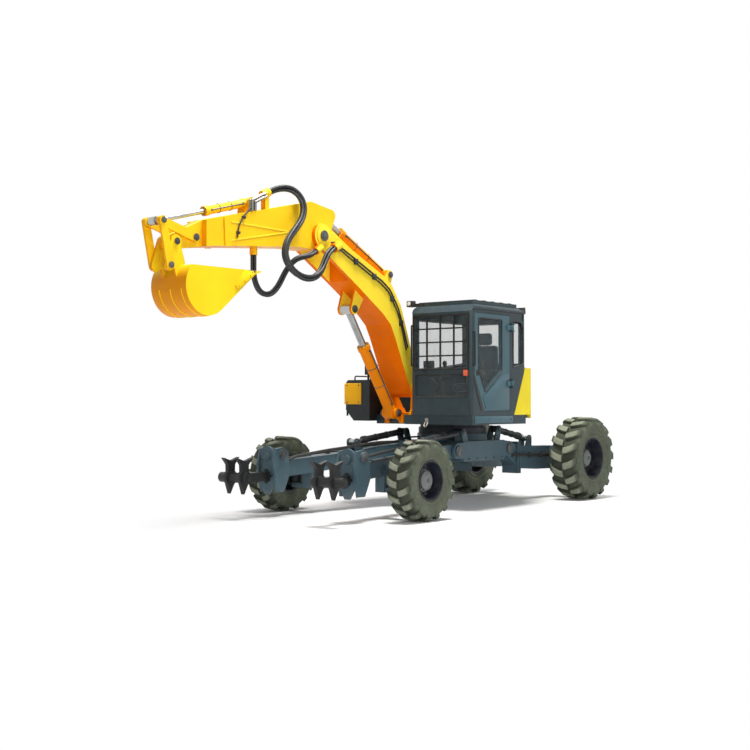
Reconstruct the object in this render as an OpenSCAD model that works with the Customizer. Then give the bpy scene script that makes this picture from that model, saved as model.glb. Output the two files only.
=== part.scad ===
// Walking excavator on four wheeled legs, millimetres, X forward, Y left, Z up

/* [Wheels] */
// Front tyre diameter over the lugs
front_tyre_d = 1040; // [940:10:1140]
// Front tyre width
front_tyre_w = 390; // [340:10:430]
// Front rim diameter
front_rim_d = 520; // [460:10:580]
// Rear tyre diameter over the lugs
rear_tyre_d = 1280; // [1180:10:1380]
// Rear tyre width
rear_tyre_w = 490; // [440:10:530]
// Rear rim diameter
rear_rim_d = 640; // [580:10:700]

/* [Stance] */
// Front axle ahead of the slew axis
front_axle_x = 2420; // [2320:10:2520]
// Rear axle behind the slew axis
rear_axle_x = 1980; // [1900:10:2080]
// Half of the front track
front_half_track = 1210; // [1190:10:1290]
// Half of the rear track
rear_half_track = 1090; // [1080:10:1160]

/* [Chassis] */
// Leg pivot to the side of the centre line
leg_y = 450; // [430:5:470]
// Width of a leg at its pivot
leg_w = 220; // [200:5:240]
// Height of the leg pivots
leg_pivot_z = 820; // [800:5:840]
// Radius of the leg pins
leg_pin_r = 55; // [45:1:65]
// Radius of the kingpins
king_r = 36; // [30:1:42]
// Outer radius of the slew ring
ring_r = 500; // [460:10:540]
// Radius of the bore in the towing lug
tow_bore_r = 28; // [20:1:36]

/* [House] */
// Thickness of the swing deck
deck_t = 130; // [110:5:150]
// Height of the engine hood above the deck
hood_h = 690; // [640:10:740]
// Height of the cab above the deck
cab_h = 1600; // [1540:10:1660]
// Rounding of the cab's corners
cab_round = 50; // [40:1:54]
// Thickness of the cab walls and the door
wall = 60; // [50:2:70]
// Thickness of the glass
glass_t = 8; // [6:1:12]

/* [Boom and arm] */
// Boom width
boom_w = 460; // [440:10:480]
// Arm width
arm_w = 340; // [320:10:350]
// Bucket width
bucket_w = 610; // [560:10:660]
// Number of bucket teeth
teeth = 5; // [4:1:6]
// Radius of the boom foot and boom tip pins
boom_pin_r = 50; // [40:1:60]
// Radius of the bucket pins
bucket_pin_r = 32; // [28:1:38]
// Half gap between the plates that hold the boom cylinder
boom_lug = 90; // [88:1:100]
// Half gap between the plates that hold the arm cylinder
arm_lug = 78; // [76:1:88]
// Half gap between the plates that hold the bucket cylinder
bucket_lug = 60; // [58:1:66]
// Thickness of bracket plates
plate_t = 35; // [28:1:42]

/* [Fits] */
// Radial clearance of pins, rods and seats
fit = 0.3; // [0.1:0.05:0.5]
// Side clearance between pieces that turn against each other
side_gap = 5; // [4:0.5:7]

/* [Hidden] */
$fn = 48;

front_z = front_tyre_d / 2;
rear_z = rear_tyre_d / 2;
king_out = 85;
front_king_y = front_half_track - front_tyre_w / 2 - king_out;
rear_king_y = rear_half_track - rear_tyre_w / 2 - king_out;
front_pivot = [720, leg_pivot_z];
rear_pivot = [-620, leg_pivot_z];
front_base = [540, leg_pivot_z + 260];
front_eye = [1700, leg_pivot_z + 130];
rear_base = [-480, leg_pivot_z + 290];
rear_eye = [-1350, leg_pivot_z + 130];
leg_lug = 52;
pipe_r = 15;
front_lift_y = leg_y + 60;
head_x = 3050;
head_y = front_king_y - 240;
rear_end_y = rear_king_y - 310;
claw_x = 3740;
claw_z = 540;
frame_z0 = 640;
frame_z1 = 950;
seat_z = 1050;
ring_z = 1200;
deck_z = ring_z + fit;
deck_top = deck_z + deck_t;
boom_y = -360;
foot = [750, 1700];
tip = [2780, 3720];
boom_base = [1020, 1360];
boom_eye = [2000, 2800];
arm_base = [1200, 3340];
arm_eye = [2550, 4020];
bucket_pivot = [5270, 3400];
bucket_base = [3980, 4030];
rocker_pivot = [4960, 3480];
rocker_pin = [5500, 3620];
ear_pin = [5385, 3110];
nose_w = 180;
rocker_y = nose_w / 2 + side_gap;
rocker_t = 32;
link_y = rocker_y + rocker_t + side_gap;
link_t = 30;
link_end_r = 52;
// Middle of the overall length measured from the slew axis
frame_shift = (rocker_pin[0] + link_end_r - rear_axle_x - rear_z) / 2;
cab_x0 = -300;
cab_x1 = 1100;
cab_y0 = 60;
cab_y1 = 1100;
cab_top = deck_top + cab_h;
hinge_x = 105;
hinge_y = cab_y1 + 30;
hood_top = deck_top + hood_h;
tank_top = deck_top + 510;
// Slanted rear edge of the cab, from its heel on the deck up to its waist
cab_heel = [20, deck_top];
cab_waist = [cab_x0, deck_top + 720];
head_front = head_x + 220;

// Hose paths from the clamp on the boom to the clamp on the arm
hose_upper_pts = [[2640, -60, 3560], [2780, -60, 3480], [2880, -50, 3240], [3120, -25, 3100],
  [3440, -20, 3120], [3690, -25, 3360], [3540, -45, 3640], [3250, -80, 3850], [3160, -110, 4110],
  [3330, -190, 4300], [3560, -260, 4260], [3700, -260, 4190]];
hose_lower_pts = [[2930, -130, 3500], [3060, -130, 3420], [3260, -170, 3400], [3370, -260, 3240],
  [3400, -330, 3050], [3540, -360, 2880], [3750, -360, 2890], [3870, -360, 3080], [3860, -360, 3250],
  [3860, -360, 3380]];
// Line of the arm's upper face
arm_top_a = [2960, 4160];
arm_top_b = [4440, 3800];

function dir(p, q) = atan2(q[1] - p[1], q[0] - p[0]);
function toward(p, q, d) = p + (q - p) * d / norm(q - p);
function unit(v) = v / norm(v);
// Point at a share of the arm's upper face and a height over it
function arm_top(t, h) = arm_top_a + (arm_top_b - arm_top_a) * t
  + h * unit([arm_top_a[1] - arm_top_b[1], arm_top_b[0] - arm_top_a[0]]);
// Points of a smooth curve drawn by a list of points, from the first to the last
function bend(p, i, t) = let(
    z = len(p) - 1, a = i > 0 ? p[i - 1] : 2 * p[0] - p[1], b = p[i], c = p[i + 1],
    d = i + 2 > z ? 2 * p[z] - p[z - 1] : p[i + 2])
  (pow(1 - t, 3) * a + (3 * t * t * t - 6 * t * t + 4) * b
    + (3 * t * t - 3 * t * t * t + 3 * t + 1) * c + t * t * t * d) / 6;
function smooth(p, n) = concat([for (i = [0:len(p) - 2]) for (k = [0:n - 1]) bend(p, i, k / n)],
  [p[len(p) - 1]]);

// A flat drawing in X and Z stretched between two values of Y
module side(y0, y1) {
  translate([0, y1, 0]) rotate([90, 0, 0]) linear_extrude(y1 - y0) children();
}
// The same drawing on both sides of a plane
module pair(y, inner, t) {
  side(y + inner, y + inner + t) children();
  side(y - inner - t, y - inner) children();
}
module pin(p, y0, y1, r) {
  side(y0, y1) translate(p) circle(r);
}
module upright(x, y, z0, z1, r) {
  translate([x, y, z0]) cylinder(h = z1 - z0, r = r);
}
// Flat link with round ends of two radii
module link_shape(p, rp, q, rq) {
  a = dir(p, q);
  b = acos((rp - rq) / norm(q - p));
  translate(p) circle(rp);
  translate(q) circle(rq);
  polygon([p + rp * [cos(a + b), sin(a + b)], q + rq * [cos(a + b), sin(a + b)],
    q + rq * [cos(a - b), sin(a - b)], p + rp * [cos(a - b), sin(a - b)]]);
}
// Round bar between two points of a side view
module bar(p, q, y, r) {
  translate([p[0], y, p[1]]) rotate([0, 90 - dir(p, q), 0]) cylinder(h = norm(q - p), r = r);
}
// Cylinder tube with the eye at its base
module barrel(p, q, y, r, length, rod_r, eye_w, pin_r) {
  difference() {
    union() {
      bar(p, toward(p, q, length), y, r);
      bar(toward(p, q, length - 70), toward(p, q, length), y, r + 10);
      pin(p, y - eye_w, y + eye_w, r + 4);
    }
    bar(toward(p, q, r + 30), toward(p, q, length + 50), y, rod_r + fit);
    pin(p, y - eye_w - 5, y + eye_w + 5, pin_r + fit);
  }
}
// Piston rod with the eye and its pin at the outer end
module piston(p, q, y, r, length, eye_r, eye_w, pin_r, pin_w) {
  bar(toward(q, p, length), q, y, r);
  pin(q, y - eye_w, y + eye_w, eye_r);
  pin(q, y - pin_w, y + pin_w, pin_r);
}
module turned(x, y, z) {
  translate([x, y, z]) rotate([-90, 0, 0]) rotate_extrude($fn = 72) children();
}
// Collar that holds the end of a hose at p, leading away from q, on a wall at y
module clamp(p, q, y, r) {
  away = -unit([q[0] - p[0], q[2] - p[2]]);
  a = [p[0], p[2]] + away * fit;
  b = a + away * 120;
  bar(b, a, p[1], r + 8);
  if (y != p[1]) {
    pin((a + b) / 2, min(y, p[1]) - 20, max(y, p[1]), 50);
  }
}
// Tube along the points, one ring at each point of the smooth curve
module tube(pts, r, n) {
  path = smooth(pts, 3);
  m = len(path);
  last = len(pts) - 1;
  dirs = [for (i = [0:m - 1]) i == 0 ? unit(pts[1] - pts[0]) : i == m - 1 ? unit(pts[last] - pts[last - 1])
    : unit(path[i + 1] - path[i - 1])];
  across = [for (d = dirs) unit(cross(d, [0, 1, 0.02]))];
  rings = [for (i = [0:m - 1]) for (k = [0:n - 1])
    path[i] + r * (cos(360 * k / n) * across[i] + sin(360 * k / n) * cross(dirs[i], across[i]))];
  walls = [for (i = [0:m - 2]) for (k = [0:n - 1])
    [i * n + k, i * n + (k + 1) % n, (i + 1) * n + (k + 1) % n, (i + 1) * n + k]];
  polyhedron(rings, concat(walls, [[for (k = [0:n - 1]) n - 1 - k]], [[for (k = [0:n - 1]) (m - 1) * n + k]]));
}

// Chassis

module chassis_body() {
  root = leg_w / 2 + side_gap;
  difference() {
    union() {
      translate([-760, -(leg_y - root), frame_z0])
        cube([1620, 2 * (leg_y - root), frame_z1 - frame_z0]);
      translate([-490, -(leg_y + root + 50), frame_z0 + 20])
        cube([1080, 2 * (leg_y + root + 50), frame_z1 - frame_z0 - 20]);
      upright(0, 0, frame_z1 - 10, seat_z, ring_r + 20);
      for (s = [-1, 1]) {
        pair(s * leg_y, root, 50) union() {
          link_shape(front_pivot, 110, [480, leg_pivot_z], 110);
          link_shape(rear_pivot, 110, [-380, leg_pivot_z], 110);
        }
        for (p = [front_pivot, rear_pivot]) {
          pin(p, s * leg_y - root - 40, s * leg_y + root + 60, leg_pin_r);
        }
        for (b = [[front_base, front_lift_y, -60], [rear_base, leg_y, 80]]) {
          pair(s * b[1], leg_lug, 25) link_shape(b[0], 55, [b[0][0] + b[2], frame_z1 - 60], 70);
          pin(b[0], s * b[1] - leg_lug - 35, s * b[1] + leg_lug + 35, 24);
        }
      }
    }
    for (s = [-1, 1]) {
      translate([s * 400 - 140, -150, frame_z0 - 10]) cube([280, 300, 130]);
    }
  }
}
module chassis_frame() color("SlateGray") chassis_body();

module slew_ring() color("DimGray") difference() {
  union() {
    upright(0, 0, seat_z, ring_z - 60, ring_r);
    upright(0, 0, ring_z - 70, ring_z, ring_r - 25);
  }
  upright(0, 0, seat_z - 5, ring_z + 5, ring_r - 120);
}

module tow_lug() color("SlateGray") translate([0, 0, frame_z0 + 60]) linear_extrude(40) difference() {
  union() {
    polygon([[-760, -120], [-760, 120], [-850, 62], [-850, -62]]);
    translate([-850, 0]) circle(62);
  }
  translate([-850, 0]) circle(tow_bore_r);
}

// Legs and claws

module front_leg_shape() {
  z = front_z;
  half = leg_w / 2;
  difference() {
    union() {
      intersection() {
        translate([0, 0, 200]) linear_extrude(900) polygon([[front_pivot[0], leg_y - half],
          [900, leg_y - half], [head_x, head_y - 95], [head_x, head_y + 95], [2900, head_y + 30],
          [900, leg_y + half], [front_pivot[0], leg_y + half]]);
        side(0, 1000) polygon([front_pivot + [0, -95], [1500, 640], [head_x, 520], [head_x, 740],
          [1900, 810], [1300, 880], front_pivot + [0, 95]]);
      }
      pin(front_pivot, leg_y - half, leg_y + half, 100);
      // Fork of the kingpin
      translate([front_axle_x - 120, head_y - 130, z - 175]) cube([240, 150, 360]);
      for (h = [-175, 115]) {
        translate([0, 0, z + h]) linear_extrude(60)
          link_shape([front_axle_x, head_y - 60], 110, [front_axle_x, front_king_y], 76);
      }
      upright(front_axle_x, front_king_y, z - 170, z + 170, king_r);
      // Eye of the lift cylinder
      pair(front_lift_y, leg_lug, 25) link_shape(front_eye, 55, [1650, 820], 80);
      // Head with its two plates and the boss on top
      pair(head_y, 120, 30) polygon([[head_x - 70, 560], [head_x - 40, 860], [head_x + 70, 920],
        [head_x + 210, 900], [head_x + 260, 700], [head_x + 190, 330], [head_x + 40, 330]]);
      translate([head_x - 40, head_y - 125, 420]) cube([130, 250, 400]);
      pin([head_x + 90, 830], head_y - 180, head_y + 180, 62);
      // Front plate with a round top and a boss, pointed below
      translate([head_front - 35, 0, 0]) rotate([90, 0, 90]) linear_extrude(35) union() {
        translate([head_y, 800]) circle(135);
        polygon([[head_y - 135, 800], [head_y - 165, 520], [head_y - 40, 300], [head_y + 40, 300],
          [head_y + 165, 520], [head_y + 135, 800]]);
      }
      translate([head_front - 10, head_y, 800]) rotate([0, 90, 0]) cylinder(h = 40, r = 62);
    }
    pin(front_pivot, leg_y - half - 5, leg_y + half + 5, leg_pin_r + fit);
  }
}
module front_leg_left() color("SlateGray") front_leg_shape();
module front_leg_right() color("SlateGray") mirror([0, 1, 0]) front_leg_shape();

module rear_leg_shape() {
  z = rear_z;
  half = leg_w / 2;
  x = -rear_axle_x;
  difference() {
    union() {
      intersection() {
        translate([0, 0, 200]) linear_extrude(900) polygon([[rear_pivot[0], leg_y - half],
          [rear_pivot[0], leg_y + half], [-1440, leg_y + half], [-1700, rear_end_y + half],
          [x - 100, rear_end_y + half], [x - 100, rear_end_y - half], [-1700, rear_end_y - half],
          [-1440, leg_y - half]]);
        side(0, 1000) polygon([rear_pivot + [0, -110], [-1000, 500], [-1480, 470], [x - 100, z - 180],
          [x - 100, z + 180], [-1480, 830], [-1000, 850], rear_pivot + [0, 110]]);
      }
      pin(rear_pivot, leg_y - half, leg_y + half, 115);
      for (h = [-180, 120]) {
        translate([0, 0, z + h]) linear_extrude(60)
          link_shape([x, rear_end_y + 20], 100, [x, rear_king_y], 76);
      }
      upright(x, rear_king_y, z - 175, z + 175, king_r);
      pair(leg_y, leg_lug, 25) link_shape(rear_eye, 55, [-1320, 820], 80);
      // Flange plates round the root of the leg
      for (k = [0, 55]) {
        translate([-985 + k, leg_y - half - 30, 430]) cube([36, 2 * half + 60, 480]);
      }
    }
    pin(rear_pivot, leg_y - half - 5, leg_y + half + 5, leg_pin_r + fit);
  }
}
module rear_leg_left() color("SlateGray") rear_leg_shape();
module rear_leg_right() color("SlateGray") mirror([0, 1, 0]) rear_leg_shape();

// Claw foot: cross tube with prongs that flare upward and spikes below
module claw_shape() {
  c = [claw_x, claw_z];
  translate([head_front, head_y - 60, claw_z - 60]) cube([claw_x - head_front, 120, 120]);
  pin(c, head_y - 135, head_y + 360, 66);
  for (y = [head_y - 50, head_y + 200]) {
    side(y - 30, y + 30) union() {
      translate(c) circle(100);
      polygon([c + [-55, 40], c + [55, 40], c + [62, 170], c + [140, 260], c + [0, 215],
        c + [-140, 260], c + [-62, 170]]);
      polygon([c + [-95, 0], c + [95, 0], c + [20, -210]]);
    }
  }
}
module claw_left() color("Black") claw_shape();
module claw_right() color("Black") mirror([0, 1, 0]) claw_shape();

// Lift cylinders of the legs
module front_barrel_shape() barrel(front_base, front_eye, front_lift_y, 46, 960, 26, leg_lug - 5, 24);
module rear_barrel_shape() barrel(rear_base, rear_eye, leg_y, 46, 690, 26, leg_lug - 5, 24);
module front_rod_shape()
  piston(front_base, front_eye, front_lift_y, 26, 520, 44, leg_lug - 5, 24, leg_lug - 2);
module rear_rod_shape() piston(rear_base, rear_eye, leg_y, 26, 460, 44, leg_lug - 5, 24, leg_lug - 2);
module front_barrel_left() color("DimGray") front_barrel_shape();
module front_barrel_right() color("DimGray") mirror([0, 1, 0]) front_barrel_shape();
module rear_barrel_left() color("DimGray") rear_barrel_shape();
module rear_barrel_right() color("DimGray") mirror([0, 1, 0]) rear_barrel_shape();
module front_rod_left() color("Silver") front_rod_shape();
module front_rod_right() color("Silver") mirror([0, 1, 0]) front_rod_shape();
module rear_rod_left() color("Silver") rear_rod_shape();
module rear_rod_right() color("Silver") mirror([0, 1, 0]) rear_rod_shape();

// Wheels

// Steering knuckle with the hub motor and the spindle
module knuckle_shape(x, king_y, z, half_track, motor_r) {
  difference() {
    union() {
      upright(x, king_y, z - 110, z + 110, 66);
      pin([x, z], king_y, half_track + 10, 60);
      pin([x, z], king_y + king_out - 3, half_track - 20, motor_r);
    }
    upright(x, king_y, z - 120, z + 120, king_r + fit);
  }
}
module front_knuckle() knuckle_shape(front_axle_x, front_king_y, front_z, front_half_track, 150);
module rear_knuckle() knuckle_shape(-rear_axle_x, rear_king_y, rear_z, rear_half_track, 170);
module front_knuckle_left() color("DimGray") front_knuckle();
module front_knuckle_right() color("DimGray") mirror([0, 1, 0]) front_knuckle();
module rear_knuckle_left() color("DimGray") rear_knuckle();
module rear_knuckle_right() color("DimGray") mirror([0, 1, 0]) rear_knuckle();

module rim_shape(x, y, z, d, w) {
  r = d / 2;
  h = w * 0.4;
  turned(x, y, z) polygon([[60 + fit, -10], [r - 45, -10], [r - 30, -h], [r - 14, -h], [r - 14, -h],
    [r, -h], [r, h], [r - 20, h], [r - 45, 20], [150, 20], [140, 60], [60 + fit, 60]]);
  turned(x, y, z) polygon([[0, 10 + side_gap], [60 + fit, 10 + side_gap], [60 + fit, 60], [120, 60],
    [120, 95], [70, 120], [0, 120]]);
}
module front_rim() rim_shape(front_axle_x, front_half_track, front_z, front_rim_d, front_tyre_w);
module rear_rim() rim_shape(-rear_axle_x, rear_half_track, rear_z, rear_rim_d, rear_tyre_w);
module front_rim_left() color("MidnightBlue") front_rim();
module front_rim_right() color("MidnightBlue") mirror([0, 1, 0]) front_rim();
module rear_rim_left() color("MidnightBlue") rear_rim();
module rear_rim_right() color("MidnightBlue") mirror([0, 1, 0]) rear_rim();

// Tyre with two rows of slanted lugs on a smooth casing
module tyre_shape(x, y, z, d, w, rim_d, lugs) {
  r = d / 2;
  i = rim_d / 2 + fit;
  h = r - i;
  c = r - 0.17 * h;
  turned(x, y, z) polygon([[i, -0.4 * w], [i + 0.3 * h, -0.48 * w], [i + 0.6 * h, -0.49 * w],
    [c - 0.06 * h, -0.44 * w], [c, -0.3 * w], [c, 0.3 * w], [c - 0.06 * h, 0.44 * w],
    [i + 0.6 * h, 0.49 * w], [i + 0.3 * h, 0.48 * w], [i, 0.4 * w]]);
  intersection() {
    turned(x, y, z) polygon([[c - 0.2 * h, -0.5 * w], [r - 0.16 * h, -0.5 * w], [r - 0.03 * h, -0.4 * w],
      [r, -0.3 * w], [r, 0.3 * w], [r - 0.03 * h, 0.4 * w], [r - 0.16 * h, 0.5 * w], [c - 0.2 * h, 0.5 * w]]);
    for (s = [-1, 1], k = [0:lugs - 1]) {
      translate([x, y, z]) rotate([0, (k + 0.25 * s) * 360 / lugs, 0]) translate([0, s * 0.26 * w, 0])
        rotate([0, 0, s * 24]) translate([-0.09 * r, -0.26 * w, c - 0.14 * h])
          cube([0.18 * r, 0.52 * w, r - c + 0.2 * h]);
    }
  }
}
module front_tyre() tyre_shape(front_axle_x, front_half_track, front_z, front_tyre_d, front_tyre_w,
  front_rim_d, 15);
module rear_tyre() tyre_shape(-rear_axle_x, rear_half_track, rear_z, rear_tyre_d, rear_tyre_w,
  rear_rim_d, 16);
module front_tyre_left() color("DarkOliveGreen") front_tyre();
module front_tyre_right() color("DarkOliveGreen") mirror([0, 1, 0]) front_tyre();
module rear_tyre_left() color("DarkOliveGreen") rear_tyre();
module rear_tyre_right() color("DarkOliveGreen") mirror([0, 1, 0]) rear_tyre();

// House

module swing_deck() color("DarkSlateGray") {
  translate([0, 0, deck_z]) linear_extrude(deck_t) polygon([[cab_x1 - 20, cab_y1], [-300, cab_y1],
    [-700, 820], [-1005, 420], [-1005, -520], [-700, -700], [930, -700], [930, -70], [cab_x1 - 20, -70]]);
  upright(0, 0, ring_z - 120, deck_z + 10, ring_r - 122);
}

// Ears of the boom foot and bracket of the boom cylinder
module boom_mast() color("Orange") {
  lane = boom_w / 2 + side_gap;
  difference() {
    union() {
      pair(boom_y, lane, 40) union() {
        link_shape(foot, 105, [640, deck_top], 240);
        polygon([[330, deck_top], [920, deck_top], [860, deck_top + 100], [400, deck_top + 100]]);
      }
      pin(foot, boom_y - lane - 55, boom_y + lane + 55, boom_pin_r);
      translate([350, boom_y - lane - 60, deck_top]) cube([550, 2 * lane + 120, 30]);
      pair(boom_y, boom_lug, plate_t) link_shape(boom_base, 68, [880, deck_z + 68], 66);
      pin(boom_base, boom_y - boom_lug - plate_t - 15, boom_y + boom_lug + plate_t + 15, 38);
      pair(boom_y, boom_lug, 80) polygon([[930, deck_z + 10], [955, deck_z + 10], [955, deck_top], [930, deck_top]]);
    }
    translate([0, -1000, deck_z - 300]) cube([930, 1000, deck_t + 300]);
  }
}

module engine_block() color("DimGray") {
  translate([-960, -420, deck_top]) cube([520, 840, 520]);
}

module hood_plan() polygon([[cab_x0 - 5, 1035], [-440, 1015], [-1000, 620], [-1000, -680],
  [-560, -1090], [340, -1090], [340, -660], [cab_x0 - 5, -660]]);
module hood_room() polygon([[cab_x0 - 60, 1000], [-440, 900], [-960, 560], [-960, -640],
  [-560, -1040], [290, -1040], [290, -710], [cab_x0 - 60, -710]]);
module engine_hood() color("DarkSlateGray") difference() {
  union() {
    translate([0, 0, deck_top]) linear_extrude(hood_h) hood_plan();
    side(cab_y0, 1035) polygon([[cab_x0 - 10, deck_top], cab_heel - [12, 0], cab_waist - [12, 0],
      [cab_x0 - 12, deck_top + hood_h], [cab_x0 - 20, deck_top + hood_h]]);
  }
  translate([0, 0, deck_top - 5]) linear_extrude(hood_h - 45) hood_room();
  for (k = [0:5]) {
    translate([-330, -1130, deck_top + 220 + 55 * k]) cube([480, 200, 28]);
  }
}

module tail_plan() polygon([[-440, 1100], [-1100, 650], [-1340, 220], [-1340, -320], [-1120, -780],
  [-640, -1130], [-640, -1100], [-1005, -770], [-1005, 630], [-440, 1040]]);
module counterweight() color("Gold") {
  top = hood_top - 10;
  rise = (top - cab_heel[1]) / (cab_waist[1] - cab_heel[1]);
  difference() {
    translate([0, 0, deck_z + 80]) linear_extrude(top - deck_z - 80) tail_plan();
    side(-1200, 1200) polygon([[-1400, deck_z], [-1400, deck_z + 300], [-1080, deck_z + 75], [-1080, deck_z]]);
  }
  // Wing beside the slanted edge of the cab
  side(1040, cab_y1) polygon([[-445, deck_top], cab_heel - [12, 0],
    cab_heel + (cab_waist - cab_heel) * rise - [12, 0], [-445, top]]);
}

module tank() color("DarkSlateGray") {
  translate([345, 0, 0]) rotate([90, 0, 90]) linear_extrude(755) polygon([[-700, deck_z + 40],
    [-1000, deck_z + 40], [-1150, deck_z + 200], [-1150, tank_top - 40], [-1110, tank_top], [-700, tank_top]]);
  translate([700, -930, tank_top - 10]) cylinder(h = 45, r = 70);
}
module tank_cover() color("Gold") {
  translate([1100, -1150, deck_top + 150]) cube([18, 300, 310]);
  translate([420, -1168, deck_top + 150]) cube([698, 18, 310]);
}

// Cab

module cab_outline(grow) polygon([cab_heel - grow * [0.65, 1], [cab_x1 + grow, deck_top - grow],
  [cab_x1 + grow, cab_top - 160 + grow], [cab_x1 - 90, cab_top - 60 + grow],
  [cab_x0 + 160, cab_top - 60 + grow], [cab_x0 + 50, cab_top - 100 + grow],
  [cab_x0 - grow, cab_top - 210 + grow], cab_waist - grow * [1, 0.21]]);
module door_outline(grow) polygon([[hinge_x + 25 - grow, deck_top + 60 - grow],
  [790 + grow, deck_top + 60 - grow], [1020 + grow, deck_top + 560], [1020 + grow, cab_top - 180 + grow],
  [hinge_x + 25 - grow, cab_top - 180 + grow]]);
module door_window() polygon([[340, cab_top - 250], [930, cab_top - 250], [935, deck_top + 630],
  [770, deck_top + 320], [340, deck_top + 630]]);
module quarter_window() polygon([[-230, deck_top + 740], [40, deck_top + 670], [40, cab_top - 250],
  [-150, cab_top - 250], [-230, cab_top - 320]]);
module right_window() polygon([[-200, deck_top + 760], [980, deck_top + 620], [980, cab_top - 250],
  [-200, cab_top - 250]]);
// Openings of the front and rear walls as Y and Z of two corners
front_windows = [[cab_y0 + 70, deck_top + 650, cab_y1 - 70, cab_top - 210],
  [cab_y0 + 70, deck_top + 260, cab_y1 - 70, deck_top + 570]];
rear_windows = [[cab_y0 + 90, hood_top + 50, cab_y1 - 90, cab_top - 260]];
module panes(list, x, t) {
  for (w = list) {
    translate([x, w[0], w[1]]) cube([t, w[2] - w[0], w[3] - w[1]]);
  }
}

// Rounded corners of the cab from above and of its roof from ahead
module cab_plan() {
  translate([cab_x0 + cab_round, cab_y0]) square([cab_x1 - cab_x0 - 2 * cab_round, cab_y1 - cab_y0]);
  translate([cab_x0, cab_y0 + cab_round]) square([cab_x1 - cab_x0, cab_y1 - cab_y0 - 2 * cab_round]);
  for (x = [cab_x0 + cab_round, cab_x1 - cab_round], y = [cab_y0 + cab_round, cab_y1 - cab_round]) {
    translate([x, y]) circle(cab_round);
  }
}
module cab_front() {
  roof = cab_top - 60;
  translate([cab_y0, deck_top]) square([cab_y1 - cab_y0, roof - cab_round - deck_top]);
  translate([cab_y0 + cab_round, deck_top]) square([cab_y1 - cab_y0 - 2 * cab_round, roof - deck_top]);
  for (y = [cab_y0 + cab_round, cab_y1 - cab_round]) {
    translate([y, roof - cab_round]) circle(cab_round);
  }
}
module cab_frame() color("DarkSlateGray") {
  difference() {
    intersection() {
      side(cab_y0, cab_y1) cab_outline(0);
      translate([0, 0, deck_top - 10]) linear_extrude(cab_h + 100) cab_plan();
      translate([cab_x0 - 10, 0, 0]) rotate([90, 0, 90]) linear_extrude(cab_x1 - cab_x0 + 20) cab_front();
    }
    side(cab_y0 + wall, cab_y1 - wall) cab_outline(-wall);
    side(cab_y1 - wall - 5, cab_y1 + 5) door_outline(side_gap);
    side(cab_y1 - wall - 5, cab_y1 + 5) quarter_window();
    side(cab_y0 - 5, cab_y0 + wall + 5) right_window();
    panes(front_windows, cab_x1 - wall - 5, wall + 10);
    panes(rear_windows, cab_x0 - 5, wall + 10);
  }
  translate([cab_x0 + 150, cab_y0 + 60, cab_top - 65])
    cube([cab_x1 - cab_x0 - 260, cab_y1 - cab_y0 - 120, 65]);
  // Hinge pins of the door
  for (h = [450, 1250]) {
    upright(hinge_x, hinge_y, deck_top + h - 60, deck_top + h + 60, 12);
    for (k = [-60, 40]) {
      upright(hinge_x, hinge_y, deck_top + h + k, deck_top + h + k + 20, 22);
      translate([hinge_x - 60, cab_y1 - 10, deck_top + h + k]) cube([60, 40, 20]);
    }
  }
}
module cab_glass() color("LightBlue") {
  side(cab_y1 - wall / 2, cab_y1 - wall / 2 + glass_t) quarter_window();
  side(cab_y0 + wall / 2, cab_y0 + wall / 2 + glass_t) right_window();
  panes(front_windows, cab_x1 - wall / 2, glass_t);
  panes(rear_windows, cab_x0 + wall / 2, glass_t);
}
module window_guard() color("Black") {
  w = front_windows[0];
  cols = 4;
  rows = 4;
  for (k = [0:cols]) {
    translate([cab_x1, w[0] - 20 + k * (w[2] - w[0] + 20) / cols, w[1] - 20]) cube([22, 20, w[3] - w[1] + 40]);
  }
  for (k = [0:rows]) {
    translate([cab_x1, w[0] - 20, w[1] - 20 + k * (w[3] - w[1] + 20) / rows]) cube([22, w[2] - w[0] + 40, 20]);
  }
}
module operator_seat() color("Black") {
  y = (cab_y0 + cab_y1) / 2;
  translate([70, y - 180, deck_top + wall]) cube([350, 360, 270]);
  translate([20, y - 250, deck_top + wall + 270]) cube([480, 500, 130]);
  translate([-36, y - 240, deck_top + wall + 330]) cube([120, 480, 620]);
}
module control_consoles() color("DimGray") {
  y = (cab_y0 + cab_y1) / 2;
  for (s = [-1, 1]) {
    translate([100, y + s * 330 - 60, deck_top + wall]) cube([500, 120, 480]);
    upright(540, y + s * 330, deck_top + wall + 480, deck_top + wall + 660, 18);
    translate([540, y + s * 330, deck_top + wall + 680]) sphere(r = 34);
  }
}
module work_lamps() color("Black") {
  translate([cab_x1 - 108, cab_y0 - 70, cab_top - 60 + fit]) cube([16, 210, 50]);
  translate([cab_x1 - 93, cab_y0 - 95, cab_top - 58]) cube([70, 110, 85]);
  translate([cab_x1 - 24, cab_y0 - 40, cab_top - 15]) rotate([0, 90, 0]) cylinder(h = 22, r = 36);
  side(cab_y1 - 150, cab_y1 - 30) polygon([[cab_x0 + 50 - 2 * fit, cab_top - 100],
    [cab_x0 + 25 - 2 * fit, cab_top - 155], [cab_x0 - 55, cab_top - 120], [cab_x0 - 45, cab_top - 30],
    [cab_x0 + 50 - 2 * fit, cab_top - 40]]);
}
module marker_lamp() color("OrangeRed") {
  translate([cab_x1, cab_y1 - 120, deck_top + 545]) cube([32, 64, 80]);
}
module handrails() color("Black") {
  y = -770;
  upright(1040, y, tank_top, tank_top + 265, 16);
  translate([1030, y - 60, tank_top + 75]) cube([20, 120, 185]);
}

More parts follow.
